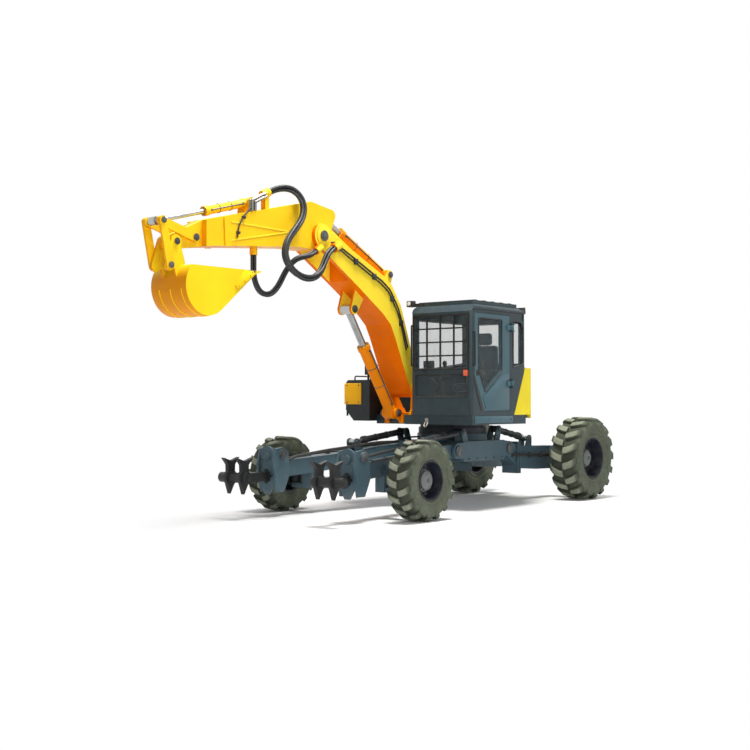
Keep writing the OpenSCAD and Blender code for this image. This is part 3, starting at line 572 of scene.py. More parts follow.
class ExcavatorColours(bpy.types.PropertyGroup):
    """Colours of the finishes"""

    # The boom orange is painted shade on the boom's faces turned down and forward. The arm yellow is also painted
    # light on the boom's top and on the arm's flanks.
    orange: bpy.props.FloatVectorProperty(name="Boom orange", description="Paint of the boom and its cylinder",
        subtype="COLOR", size=3, min=0, max=1, default=(0.88, 0.175, 0.001))
    yellow: bpy.props.FloatVectorProperty(name="Arm yellow", description="Paint of the arm and the bucket",
        subtype="COLOR", size=3, min=0, max=1, default=(0.94, 0.58, 0.012))
    tail: bpy.props.FloatVectorProperty(name="Tail yellow", description="Paint of the tail and the tank cover",
        subtype="COLOR", size=3, min=0, max=1, default=(0.97, 0.78, 0.024))
    slate: bpy.props.FloatVectorProperty(name="Leg slate", description="Paint of the legs and the chassis",
        subtype="COLOR", size=3, min=0, max=1, default=(0.056, 0.102, 0.128))
    cab: bpy.props.FloatVectorProperty(name="Cab grey", description="Paint of the cab frame and the deck",
        subtype="COLOR", size=3, min=0, max=1, default=(0.022, 0.041, 0.050))
    panel: bpy.props.FloatVectorProperty(name="Panel grey", description="Paint of the door and the tank",
        subtype="COLOR", size=3, min=0, max=1, default=(0.054, 0.118, 0.146))
    tyre: bpy.props.FloatVectorProperty(name="Tyre", description="Rubber of the tyres",
        subtype="COLOR", size=3, min=0, max=1, default=(0.062, 0.074, 0.050))
    floor: bpy.props.FloatVectorProperty(name="Floor", description="Pale floor",
        subtype="COLOR", size=3, min=0, max=1, default=(0.86, 0.86, 0.86))


class ExcavatorSizes(bpy.types.PropertyGroup):
    """Sizes of the fittings"""

    upper_hose: bpy.props.FloatProperty(name="Upper hose", description="Diameter of each hose of the upper bundle",
        unit="LENGTH", default=0.046, min=0.03, max=0.06)
    lower_hose: bpy.props.FloatProperty(name="Lower hose", description="Diameter of each hose of the lower bundle",
        unit="LENGTH", default=0.039, min=0.03, max=0.05)
    edge: bpy.props.FloatProperty(name="Edge rounding", description="Rounding of the edges of plates and castings",
        unit="LENGTH", default=0.009, min=0.002, max=0.02)
    lens: bpy.props.FloatProperty(name="Lens", description="Focal length of the camera in millimetres",
        unit="CAMERA", default=57.6, min=20, max=120)


def colours():
    """The colours as they are set in the scene."""
    return bpy.context.scene.excavator_colours


def sizes():
    """The sizes as they are set in the scene."""
    return bpy.context.scene.excavator_sizes


# Operators

CAMERA_PLACE = (14745, 10324, 1530)
CAMERA_HEADING = math.radians(218.67)
CAMERA_RISE = math.radians(1.24)
# Middle ahead of the slew axis, half length and half width of the floor that shows its shadow
FLOOR_OVAL = (0.5, 3.5, 2.5)
# Where the floor begins to run out into white and where it is all white, in shares of the oval
FLOOR_FADE = (0.75, 1.45)
SKY_TINT = (0.93, 0.96, 1.0, 1)
SKY_LIGHT = 0.34
WHITE = (1, 1, 1, 1)
LAMP_TINT = (1.0, 0.98, 0.95)
LAMP_AIM = (1400, 0, 1600)
# Name, place, size and power
LAMPS = (("key", (2200, 1800, 13000), 3.5, 2300), ("fill", (11500, 11500, 6500), 9.0, 560),
    ("back", (-9000, -8000, 9000), 8.0, 200))


class EXCAVATOR_OT_stage(bpy.types.Operator):
    """Set the camera, the floor and the light"""

    bl_idname = "excavator.stage"
    bl_label = "Stage"

    def stand(self, name, data, place, look):
        """Put a camera or a lamp in its place, turned to where it looks."""
        obj = bpy.data.objects.new(name, data)
        bpy.context.scene.collection.objects.link(obj)
        obj.location = at(*place)
        obj.rotation_euler = look.to_track_quat("-Z", "Y").to_euler()
        return obj

    def lay_floor(self):
        """A pale floor under the machine that runs out into white."""
        apart()
        bpy.ops.mesh.primitive_plane_add(size=120, location=(0, 0, -0.001))
        floor = bpy.context.view_layer.objects.active
        floor.name = "floor"
        f = Finish("floor")
        ahead, half_x, half_y = FLOOR_OVAL
        far = f.length(f.place((1 / half_x, 1 / half_y, 1.0), (-(SLEW_X + ahead) / half_x, 0, 0)))
        f.surface(Base_Color=f.mix(f.noise(0.8, 3.0) * 0.3, shade(colours().floor), shade(colours().floor, 0.985)),
            Roughness=0.9)
        white = f.node("ShaderNodeEmission", None, {"Color": WHITE, "Strength": 1.0})
        blend = f.node("ShaderNodeMixShader", None, {0: f.step(far, *FLOOR_FADE) * f.seen(), 1: f.shader, 2: white})
        f.put(f.output.node, {0: blend})
        # The white is only looked at, so no light is drawn from it
        f.material.cycles.emission_sampling = "NONE"
        floor.data.materials.append(f.material)

    def execute(self, context):
        scene = context.scene
        scene.view_settings.view_transform = "Standard"
        data = bpy.data.cameras.new("camera")
        data.lens = sizes().lens
        data.sensor_width = 36
        data.clip_end = 200
        level = math.cos(CAMERA_RISE)
        look = Vector((math.cos(CAMERA_HEADING) * level, math.sin(CAMERA_HEADING) * level, math.sin(CAMERA_RISE)))
        scene.camera = self.stand("camera", data, CAMERA_PLACE, look)

        self.lay_floor()

        world = bpy.data.worlds.new("sky")
        scene.world = world
        world.use_nodes = True
        sky = Nodes(world.node_tree)
        soft = sky.node("ShaderNodeBackground", None, {0: SKY_TINT, 1: SKY_LIGHT})
        plain = sky.node("ShaderNodeBackground", None, {0: WHITE, 1: 1.0})
        mixed = sky.node("ShaderNodeMixShader", None, {0: sky.seen(), 1: soft, 2: plain})
        sky.node("ShaderNodeOutputWorld", None, {0: mixed})

        for name, place, size, power in LAMPS:
            lamp = bpy.data.lights.new(name, "AREA")
            lamp.size = size
            lamp.energy = power
            lamp.color = LAMP_TINT
            self.stand(name, lamp, place, at(*LAMP_AIM) - at(*place))
        return {"FINISHED"}


class EXCAVATOR_OT_finishes(bpy.types.Operator):
    """Mix the finishes and give them to the solids"""

    bl_idname = "excavator.finishes"
    bl_label = "Finishes"

    def execute(self, context):
        c = colours()
        # Painted light on the boom, the arm and the bucket: their orange base colours are painted shade on the faces
        # turned down and forward, and their yellow top and flank colours are painted light. The mast's paler top is
        # painted light too.
        paint("boom_paint_and_light", c.orange, top=c.yellow, side=(0.98, 0.74, 0.045), dust=0.02, shine=0.04, lean=1.0)
        paint("mast_paint_and_light", (0.90, 0.25, 0.003), top=(0.95, 0.42, 0.006), dust=0.03, shine=0.07)
        paint("arm_paint_and_light", (0.92, 0.40, 0.003), top=(0.95, 0.66, 0.02), side=c.yellow, dust=0.04, shine=0.14)
        paint("bucket_paint_and_light", (0.80, 0.29, 0.002), top=(0.95, 0.68, 0.02), side=(0.95, 0.67, 0.012), dust=0.05,
            chips=0.6, gloss=0.42, shine=0.14)
        paint("tail_paint", c.tail, dust=0.03, shine=0.16)
        paint("cover_paint", (0.90, 0.46, 0.01), dust=0.03, shine=0.16)
        paint("leg_paint", c.slate, dust=0.12, dust_below=0.42, gloss=0.42)
        paint("cab_paint", c.cab, dust=0.08, gloss=0.34)
        paint("tank_paint", (0.013, 0.019, 0.021), dust=0.07, gloss=0.36)
        paint("panel_paint", c.panel, dust=0.07, gloss=0.36)
        paint("black_paint", (0.010, 0.011, 0.012), dust=0.06, gloss=0.4, chips=0.4)
        for end, x, _, d, *_ in WHEELS:
            paint("%s_rim_paint" % end, (0.012, 0.016, 0.026), dust=0.2, gloss=0.4,
                hub=(at(x, 0, d / 2), 0.148, (0.15, 0.17, 0.165)))
        cast("dark_steel", (0.040, 0.046, 0.052), dust=0.12)
        cast("pin_steel", (0.11, 0.115, 0.12), gloss=0.42, metal=0.85, dust=0.1)
        cast("pipe_steel", (0.30, 0.29, 0.26), gloss=0.38, metal=0.9, dust=0.3)
        chrome("rod_chrome")
        tread("tyre_rubber", c.tyre, (0.27, 0.29, 0.22))
        rubber("trim_rubber", (0.011, 0.012, 0.013), 0.05, gloss=0.55)
        glass("cab_glass_clear", (0.12, 0.17, 0.18), 0.14)
        weave("seat_cover", (0.022, 0.030, 0.055))
        sleeve("hose_cover")
        lens("marker_lens", (0.75, 0.09, 0.012))
        lens("lamp_lens", (0.82, 0.82, 0.76))
        given = {
            "boom_paint_and_light": ("boom",),
            "mast_paint_and_light": ("boom_barrel", "boom_mast", "arm_barrel"),
            "arm_paint_and_light": ("arm", "rocker", "bucket_link", "bucket_barrel"),
            "bucket_paint_and_light": ("bucket",),
            "tail_paint": ("counterweight",),
            "cover_paint": ("tank_cover",),
            "leg_paint": ("chassis_frame", "tow_lug", *each("%s_leg_%s")),
            "cab_paint": ("cab_frame", "swing_deck", "engine_hood"),
            "panel_paint": ("cab_door",),
            "tank_paint": ("tank",),
            "black_paint": ("claw_left", "claw_right", "window_guard", "handrails"),
            "front_rim_paint": ("front_rim_left", "front_rim_right"),
            "rear_rim_paint": ("rear_rim_left", "rear_rim_right"),
            "dark_steel": ("slew_ring", "engine_block", *each("%s_barrel_%s"), *each("%s_knuckle_%s")),
            "rod_chrome": ("boom_rod", "arm_rod", "bucket_rod", *each("%s_rod_%s")),
            "tyre_rubber": each("%s_tyre_%s"),
            "cab_glass_clear": ("cab_glass", "door_glass"),
            "seat_cover": ("operator_seat",),
            "trim_rubber": ("control_consoles", "work_lamps"),
            "marker_lens": ("marker_lamp",),
            "hose_cover": ("hose_upper", "hose_lower"),
            "pipe_steel": ("arm_pipes",),
        }
        for finish, names in given.items():
            for name in names:
                for slot in NODES[name].material_slots:
                    slot.material = FINISHES[finish]
        missing = set(NODES) - {n for names in given.values() for n in names}
        if missing:
            raise RuntimeError("no finish for %s" % sorted(missing))
        # Round and thin solids keep their edges, and the others get them rounded off
        plain = ("slew_ring", *[name for finish in ("hose_cover", "cab_glass_clear", "rod_chrome", "pipe_steel",
            "tyre_rubber", "front_rim_paint", "rear_rim_paint") for name in given[finish]])
        thin, thin_edge = ("window_guard", "marker_lamp", "handrails"), 0.004
        for name, obj in NODES.items():
            if name in plain:
                continue
            weld = obj.modifiers.new("weld", "WELD")
            weld.merge_threshold = 0.00005
            soft = obj.modifiers.new("edges", "BEVEL")
            soft.width = thin_edge if name in thin else sizes().edge
            soft.segments = 2
            soft.limit_method = "ANGLE"
            soft.angle_limit = math.radians(38)
            soft.use_clamp_overlap = True
            soft.harden_normals = False
        return {"FINISHED"}


# Points that draw the middle of each bundle of hoses, from the boom to the arm
HOSE_UPPER = ((2640, -60, 3560), (2780, -60, 3480), (2880, -50, 3240), (3120, -25, 3100), (3440, -20, 3120),
    (3690, -25, 3360), (3540, -45, 3640), (3250, -80, 3850), (3160, -110, 4110), (3330, -190, 4300),
    (3560, -260, 4260), (3700, -260, 4190))
HOSE_LOWER = ((2930, -130, 3500), (3060, -130, 3420), (3260, -170, 3400), (3370, -260, 3240), (3400, -330, 3050),
    (3540, -360, 2880), (3750, -360, 2890), (3870, -360, 3080), (3860, -360, 3250), (3860, -360, 3380))
# Angle in radians by which the three hoses wind about each other on their way
HOSE_WIND = 1.3


class EXCAVATOR_OT_hoses(bpy.types.Operator):
    """Lay the two bundles of hoses from the boom to the arm"""

    bl_idname = "excavator.hoses"
    bl_label = "Hoses"

    def bundle(self, name, points, diameter, node):
        """Three hoses that lie round the middle of their bundle."""
        path = drawn(points, 8)
        last = len(path) - 1
        heading = [(path[min(i + 1, last)] - path[max(i - 1, 0)]).normalized() for i in range(last + 1)]
        across = heading[0].cross(Vector((0, 1, 0.02))).normalized()
        frames = []
        for i, d in enumerate(heading):
            if i:
                across = heading[i - 1].rotation_difference(d) @ across
            across = (across - d * across.dot(d)).normalized()
            frames.append((across.copy(), d.cross(across)))
        reach = diameter * 1000 / math.sqrt(3)
        for k in range(3):
            line = []
            for i, (p, (u, v)) in enumerate(zip(path, frames)):
                a = math.radians(120 * k + 30) + HOSE_WIND * math.sin(math.pi * i / last) ** 2
                line.append(at(*(p + reach * (u * math.cos(a) + v * math.sin(a)))))
            obj = pipe("%s_%d" % (name, k + 1), line, diameter / 2, 3)
            bpy.ops.object.shade_smooth_by_angle(angle=math.radians(60))
            length = [0.0]
            for a, b in zip(line, line[1:]):
                length.append(length[-1] + (b - a).length)
            layer = obj.data.attributes.new("along", "FLOAT", "POINT")
            for v, item in zip(obj.data.vertices, layer.data):
                near = min(range(len(line)), key=lambda i: (line[i] - v.co).length_squared)
                item.value = length[near]
            obj.data.materials.append(FINISHES["hose_cover"])
            tuple(at(*points[0]))
            tuple(at(*points[-1]))
            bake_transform(obj)
            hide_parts(node)

    def execute(self, context):
        self.bundle("upper_hose", HOSE_UPPER, sizes().upper_hose, "hose_upper")
        self.bundle("lower_hose", HOSE_LOWER, sizes().lower_hose, "hose_lower")
        return {"FINISHED"}


# Slant of the lugs, and their depth as a share of the tyre's wall
LUG_SLANT = math.tan(math.radians(24))
LUG_DEPTH = 0.17


class EXCAVATOR_OT_tyres(bpy.types.Operator):
    """Model the tyres with two rows of slanted lugs, each lug once for its row"""

    bl_idname = "excavator.tyres"
    bl_label = "Tyres"

    def lug_row(self, piece, centre, outer, wall, carcass, width, lugs, side):
        """One lug from the middle of the tread to its shoulder, then copied round the axle."""
        piece.clear()
        bpy.ops.mesh.primitive_cube_add(size=2, location=(0, 0, 0))
        bpy.ops.mesh.subdivide(number_cuts=3)
        bm = bmesh.from_edit_mesh(piece.obj.data)
        for v in bm.verts:
            if v.hide:
                continue
            # Shares of the way from the middle to the shoulder and from root to crown
            across, out, rise = v.co.x, (v.co.y + 1) / 2, (v.co.z + 1) / 2
            y = width * (0.012 + 0.482 * out)
            crown = outer - wall * (0.3 * max(0.0, y / width - 0.3) + max(0.0, y / width - 0.4))
            root = carcass - wall * (0.10 + 0.42 * max(0.0, out - 0.72) / 0.28)
            half = outer * (0.098 + 0.016 * out) * (1.0 - 0.26 * rise)
            lead = 0.03 * outer * math.sin(math.pi * out) - LUG_SLANT * (y - 0.26 * width)
            turn = (lead + across * half) / outer + side * math.pi / (2 * lugs)
            r = root + (crown - root) * rise
            v.co = at(centre[0] + r * math.sin(turn), centre[1] + side * y, centre[2] + r * math.cos(turn))
        bmesh.update_edit_mesh(piece.obj.data)
        bpy.ops.mesh.select_all(action="SELECT")
        bpy.ops.mesh.normals_make_consistent(inside=False)
        piece.soften(7, 2, 48)
        bpy.ops.mesh.select_all(action="SELECT")
        bpy.ops.mesh.spin(steps=lugs - 1, dupli=True, angle=math.tau * (lugs - 1) / lugs, center=at(*centre),
            axis=(0, 1, 0))

    def execute(self, context):
        for end, x, track, d, w, rim, lugs in WHEELS:
            outer, bead = d / 2, rim / 2 + 0.5
            wall = outer - bead
            carcass = outer - LUG_DEPTH * wall
            # Half of the tyre's section, as radius and share of the width
            half = [(bead + a * wall, b) for a, b in ((0, 0.40), (0.09, 0.425), (0.12, 0.455), (0.17, 0.456),
                (0.20, 0.447), (0.32, 0.474), (0.46, 0.488), (0.60, 0.487))]
            half += [(carcass + a * wall, b) for a, b in ((-0.14, 0.466), (-0.05, 0.425), (-0.01, 0.36), (0, 0.26),
                (0.003, 0.0))]
            profile = [(a, -b * w) for a, b in half] + [(a, b * w) for a, b in reversed(half[:-1])]
            for side, s in SIDES:
                centre = (x, track * s, outer)
                piece = Piece("%s_tread_%s" % (end, side))
                piece.lathe(profile, centre)
                for row in (-1, 1):
                    self.lug_row(piece, centre, outer, wall, carcass, w, lugs, row)
                obj = piece.done("%s_%s_wheel" % (end, side), "tyre_rubber", 42,
                    ("%s_tyre_%s" % (end, side),))
                # Height over the carcass, as a share of a lug's depth, for the dust on the tread, the painted shade
                # in its grooves and the painted highlight on its lugs
                layer = obj.data.attributes.new("rise", "FLOAT", "POINT")
                axle = at(*centre)
                for v, item in zip(obj.data.vertices, layer.data):
                    reach = math.hypot(v.co.x - axle.x, v.co.z - axle.z) * 1000
                    item.value = (reach - carcass) / (outer - carcass)
        return {"FINISHED"}


# Radius of a wheel's hub, and the wall of its rim
HUB_R = 150
RIM_WALL = 45


class EXCAVATOR_OT_wheels(bpy.types.Operator):
    """Fit nuts, lock rings and valves to the rims"""

    bl_idname = "excavator.wheels"
    bl_label = "Wheels"

    def execute(self, context):
        for end, x, track, d, w, rim, _ in WHEELS:
            z, rim_r, edge = d / 2, rim / 2, 0.4 * w
            for side, s in SIDES:
                y = track * s
                body = "%s_%s_wheel" % (end, side)
                piece = Piece("%s_nuts_%s" % (end, side))
                piece.bolt_ring((x, y + 20 * s, z), (0, s, 0), (HUB_R + rim_r - RIM_WALL) / 2, 10, 19)
                piece.bolt_ring((x, y + 60 * s, z), (0, s, 0), 128, 12, 8, 0.5)
                piece.bar((x, y + 118 * s, z), (x, y + 128 * s, z), 34, 6, 3)
                piece.bar((x + rim_r - 40, y + 20 * s, z), (x + rim_r - 42, y + 66 * s, z), 7, 10, 1)
                piece.done(body, "pin_steel")
                piece = Piece("%s_lock_ring_%s" % (end, side))
                section = ((19, -4), (5, -4), (3, 5), (8, 9), (17, 5))
                piece.lathe([(rim_r - inset, (edge + out) * s) for inset, out in section], (x, y, z), 72)
                piece.done(body, "%s_rim_paint" % end)
        return {"FINISHED"}


class EXCAVATOR_OT_cab_trim(bpy.types.Operator):
    """Fit gaskets, handles, strips and gutters to the cab and its door"""

    bl_idname = "excavator.cab_trim"
    bl_label = "Cab trim"

    def execute(self, context):
        top = ROOF - 250
        piece = Piece("window_gaskets")
        for x, right, left, low, high in ((1101, 130, 1030, DECK + 650, ROOF - 210),
                (1101, 130, 1030, DECK + 260, DECK + 570), (-301, 150, 1010, HOOD + 50, ROOF - 260)):
            piece.gasket([(x, right, low), (x, left, low), (x, left, high), (x, right, high)])
        piece.gasket([(x, 59, z) for x, z in ((-200, DECK + 760), (980, DECK + 620), (980, top), (-200, top))])
        piece.gasket([(x, 1101, z) for x, z in ((-230, DECK + 740), (40, DECK + 670), (40, top), (-150, top),
            (-230, ROOF - 320))])
        # Dark strip ahead of the slanted edge of the door
        piece.side_plate(((812, 1394), (872, 1394), (1046, 1790), (1046, 1880), (1036, 1880)), 1098, 9, 2)
        piece.done("house", "trim_rubber", 35)

        piece = Piece("door_gasket")
        piece.gasket([(x, 1101, z) for x, z in ((340, top), (930, top), (935, DECK + 630), (770, DECK + 320),
            (340, DECK + 630))])
        # Latch with its handle and lock outside, and a handle inside
        piece.block((850, 1099, 1880), (985, 1106, 1960), 3)
        piece.grip((868, 1104, 1935), (968, 1104, 1935), (0, 30, 0), 10)
        piece.bar((900, 1104, 1898), (900, 1112, 1898), 12, 16, 2)
        piece.grip((250, 1036, 1700), (250, 1036, 2000), (0, -36, 0), 12)
        piece.done("door", "trim_rubber", 35)

        piece = Piece("door_panel")
        piece.side_plate(((150, 1412), (752, 1412), (838, 1590), (770, 1622), (330, 1915), (150, 1915)), 1099, 8, 4)
        piece.done("door", "panel_paint", 35)

        piece = Piece("cab_sill")
        piece.block((60, 1097, 1222), (1030, 1111, 1318), 6)
        for x in (110, 400, 690, 980):
            piece.bolt((x, 1111, 1270), (0, 1, 0), 11)
        piece.done("house", "panel_paint", 35)

        piece = Piece("cab_rails")
        for y in (1104, 56):
            piece.tube([(-215, y, ROOF - 235), (-225, y, ROOF - 128), (1000, y, ROOF - 128),
                (1060, y, ROOF - 150)], 9)
        piece.grip((1064, 1098, 2020), (1064, 1098, 2480), (0, 30, 0), 12)
        piece.grip((1098, 96, 2030), (1098, 96, 2600), (38, 0, 0), 12)
        for x in (-60, 160, 380, 600, 820):
            piece.block((x, 150, ROOF - 2), (x + 70, 1010, ROOF + 12), 6)
        piece.done("house", "black_paint", 35)

        piece = Piece("wiper")
        pivot = DECK + 612
        piece.bar((1100, 300, pivot), (1114, 300, pivot), 22, 20, 3)
        piece.tube([(1112, 300, pivot), (1116, 420, DECK + 520), (1112, 560, DECK + 420)], 5, 8)
        piece.tube([(1106, 470, DECK + 340), (1108, 560, DECK + 420), (1106, 660, DECK + 510)], 6, 8)
        piece.done("house", "trim_rubber", 35)

        piece = Piece("lamp_glasses")
        piece.bar((1096, 20, ROOF - 15), (1102, 20, ROOF - 15), 30, 28, 2)
        piece.block((-352, 965, ROOF - 108), (-347, 1055, ROOF - 45), 2)
        piece.done("house", "lamp_lens", 35)

        piece = Piece("marker_bezel")
        low, high = DECK + 541, DECK + 629
        piece.tube([(1106, 976, low), (1106, 1048, low), (1106, 1048, high), (1106, 976, high)], 6, 8, True)
        piece.done("house", "trim_rubber", 35)

        piece = Piece("mirror_glass")
        piece.block((1027, -822, TANK + 83), (1030.5, -718, TANK + 252), 1)
        piece.done("house", "rod_chrome", 35)
        return {"FINISHED"}


class EXCAVATOR_OT_cab_room(bpy.types.Operator):
    """Furnish the cab with a padded seat, armrests, lever boots, screen and pedals"""

    bl_idname = "excavator.cab_room"
    bl_label = "Cab room"

    def execute(self, context):
        # Middle of the seat, which the consoles stand beside
        mid = 580
        piece = Piece("seat_stand")
        piece.block((70, mid - 180, DECK + 61), (420, mid + 180, DECK + 120), 8)
        for k in range(5):
            piece.block((90 + 3 * k, mid - 160 + 3 * k, DECK + 118 + 36 * k),
                (400 - 3 * k, mid + 160 - 3 * k, DECK + 150 + 36 * k), 12)
        piece.block((40, mid - 215, DECK + 296), (470, mid + 215, DECK + 334), 8)
        piece.done("house", "trim_rubber", 35)
        cushions = (("seat_cushion", (24, mid - 244, DECK + 332), (496, mid + 244, DECK + 458)),
            ("seat_back", (-34, mid - 236, DECK + 440), (82, mid + 236, DECK + 1006)),
            ("seat_headrest", (-40, mid - 130, DECK + 1014), (66, mid + 130, DECK + 1190)))
        for name, low, high in cushions:
            piece = Piece(name)
            piece.block(low, high, 44, 5)
            obj = piece.done("house", "seat_cover", 60, ("operator_seat",) if name == "seat_cushion" else ())
        piece = Piece("seat_fittings")
        for y in (mid - 60, mid + 60):
            piece.bar((14, y, DECK + 990), (14, y, DECK + 1030), 9, 12, 0)
        for s in (-1, 1):
            # Armrest, lever boot, lever grip and switch plate
            piece.block((60, mid + s * 300 - 38, DECK + 596), (400, mid + s * 300 + 38, DECK + 640), 16, 3)
            piece.bar((540, mid + s * 330, DECK + 538), (540, mid + s * 330, DECK + 640), 58, 24, 6, 24)
            piece.block((515, mid + s * 330 - 22, DECK + 700), (562, mid + s * 330 + 22, DECK + 782), 14, 3)
            piece.block((430, mid + s * 330 - 46, DECK + 538), (474, mid + s * 330 + 46, DECK + 552), 3)
        # Screen on its arm, pedals with their levers, and the floor mat
        piece.block((955, 190, DECK + 640), (985, 370, DECK + 770), 8)
        piece.bar((985, 280, DECK + 640), (1035, 280, DECK + 560), 12, 12, 0)
        for y in (470, 690):
            piece.block((800, y - 60, DECK + 66), (980, y + 60, DECK + 84), 5, 2, (0, math.radians(-16), 0))
            piece.bar((890, y, DECK + 80), (860, y, DECK + 400), 11, 12, 0)
            piece.ball((860, y, DECK + 410), 22)
        piece.block((610, 130, DECK + 60.5), (1030, 1030, DECK + 66), 2)
        piece.done("house", "trim_rubber", 35)
        piece = Piece("screen_glass")
        piece.block((951, 205, DECK + 655), (955.5, 355, DECK + 755), 1)
        piece.done("house", "cab_glass_clear", 35)
        return {"FINISHED"}


class EXCAVATOR_OT_house_fittings(bpy.types.Operator):
    """Fit lids, latches, lamps, bolts and hooks to the house"""

    bl_idname = "excavator.house_fittings"
    bl_label = "House fittings"

    def execute(self, context):
        piece = Piece("hood_lids")
        piece.block((-940, -600, HOOD - 2), (-360, 560, HOOD + 12), 7)
        piece.block((-300, -1040, HOOD - 2), (300, -700, HOOD + 12), 7)
        piece.block((-540, -1098, DECK + 60), (-360, -1088, HOOD - 60), 5)
        piece.block((170, -1098, DECK + 60), (320, -1088, HOOD - 60), 5)
        piece.done("house", "cab_paint", 35)

        piece = Piece("house_bolts")
        # On the hood's lids, the foot of the mast, the tank's filler and the tank's cover
        for x in (-900, -660, -400):
            for y in (-570, 530):
                piece.bolt((x, y, HOOD + 12), (0, 0, 1), 12)
        for x in (-190, -164):
            piece.bar((x, -870, HOOD + 10), (x, -870, HOOD + 20), 26, 20, 3)
        for x in (400, 520, 640, 760, 860):
            for y in (BOOM_Y - 270, BOOM_Y + 270):
                piece.bolt((x, y, DECK + 30), (0, 0, 1), 13)
        piece.bolt_ring((700, -930, TANK + 35), (0, 0, 1), 56, 8, 5)
        for z in (DECK + 180, DECK + 430):
            for x in (460, 1070):
                piece.bolt((x, -1168, z), (0, -1, 0), 10)
            for y in (-1110, -890):
                piece.bolt((1118, y, z), (1, 0, 0), 10)
        piece.pin_caps(BOOM_PIN, BOOM_Y, 290, 74)
        piece.pin_caps(BOOM_LIFT[0], BOOM_Y, 140, 52)
        piece.done("house", "pin_steel")

        piece = Piece("tank_fittings")
        piece.bar((700, -930, TANK + 34), (700, -930, TANK + 58), 44, 8, 6)
        piece.grip((520, -1140, TANK - 4), (900, -1140, TANK - 4), (0, 0, 64), 11)
        for x in (470, 1040):
            piece.block((x, -1156, DECK - 20), (x + 40, -1148, TANK - 60), 3)
        piece.done("house", "black_paint", 35)

        piece = Piece("tail_lamps")
        for y in (-250, 150):
            piece.bar((-1336, y, DECK + 250), (-1348, y, DECK + 250), 42, 28, 4)
        piece.done("house", "marker_lens", 35)

        piece = Piece("deck_hook")
        piece.block((1060, 290, 1205), (1086, 350, 1290), 4)
        piece.tube([(1084, 296, 1225), (1116, 296, 1180), (1122, 320, 1165), (1116, 344, 1180), (1084, 344, 1225)],
            11)
        piece.done("house", "pipe_steel", 35)
        return {"FINISHED"}


class EXCAVATOR_OT_chassis_fittings(bpy.types.Operator):
    """Fit the ring of bolts round the slew ring and the caps of the leg pins"""

    bl_idname = "excavator.chassis_fittings"
    bl_label = "Chassis fittings"

    def execute(self, context):
        piece = Piece("slew_bolts")
        piece.bolt_ring((0, 0, 1140), (0, 0, 1), 487, 36, 9)
        piece.bolt_ring((0, 0, 1050), (0, 0, 1), 510, 24, 8, 0.5)
        piece.done("base", "pin_steel")
        piece = Piece("leg_pin_caps")
        for pin in LEG_PINS:
            piece.pin_caps(pin, 0, 624, 76)
        for _, s in SIDES:
            piece.pin_caps(FRONT_LIFT[0], FRONT_LIFT_Y * s, 86, 38, 10)
            piece.pin_caps(REAR_LIFT[0], REAR_LIFT_Y * s, 86, 38, 10)
            for x in (-420, -200, 20, 240, 460):
                piece.bolt((x, 615 * s, 700), (0, s, 0), 14)
        piece.done("base", "pin_steel")
        piece = Piece("chassis_lines")
        for _, s in SIDES:
            for way, y, end in ((1, 300, 800), (-1, 290, 720)):
                piece.tube([(380 * way, y * s, 955), (380 * way, y * s, 1000), (560 * way, (y + 30) * s, 1000),
                    (end * way, (y + 30) * s, 985)], 13)
        piece.done("base", "trim_rubber", 35)
        return {"FINISHED"}


# Bar that carries the claws, as X and Z
CLAW_BAR = (3740, 540)
# Radius of the ring of bolts on a wheel's motor
MOTOR_RING = {"front": 128, "rear": 148}


def leg_middle(x):
    """Middle of the front leg at a distance ahead of the slew axis."""
    return 450 + 240 * min(1.0, max(0.0, (x - 900) / 2150))


def leg_top(x):
    """Upper edge of the front leg at a distance ahead of the slew axis."""
    for (a, p), (b, q) in (((720, 915), (1300, 880)), ((1300, 880), (1900, 810)), ((1900, 810), (3050, 740))):
        if x <= b:
            return p + (q - p) * (x - a) / (b - a)
    return 740


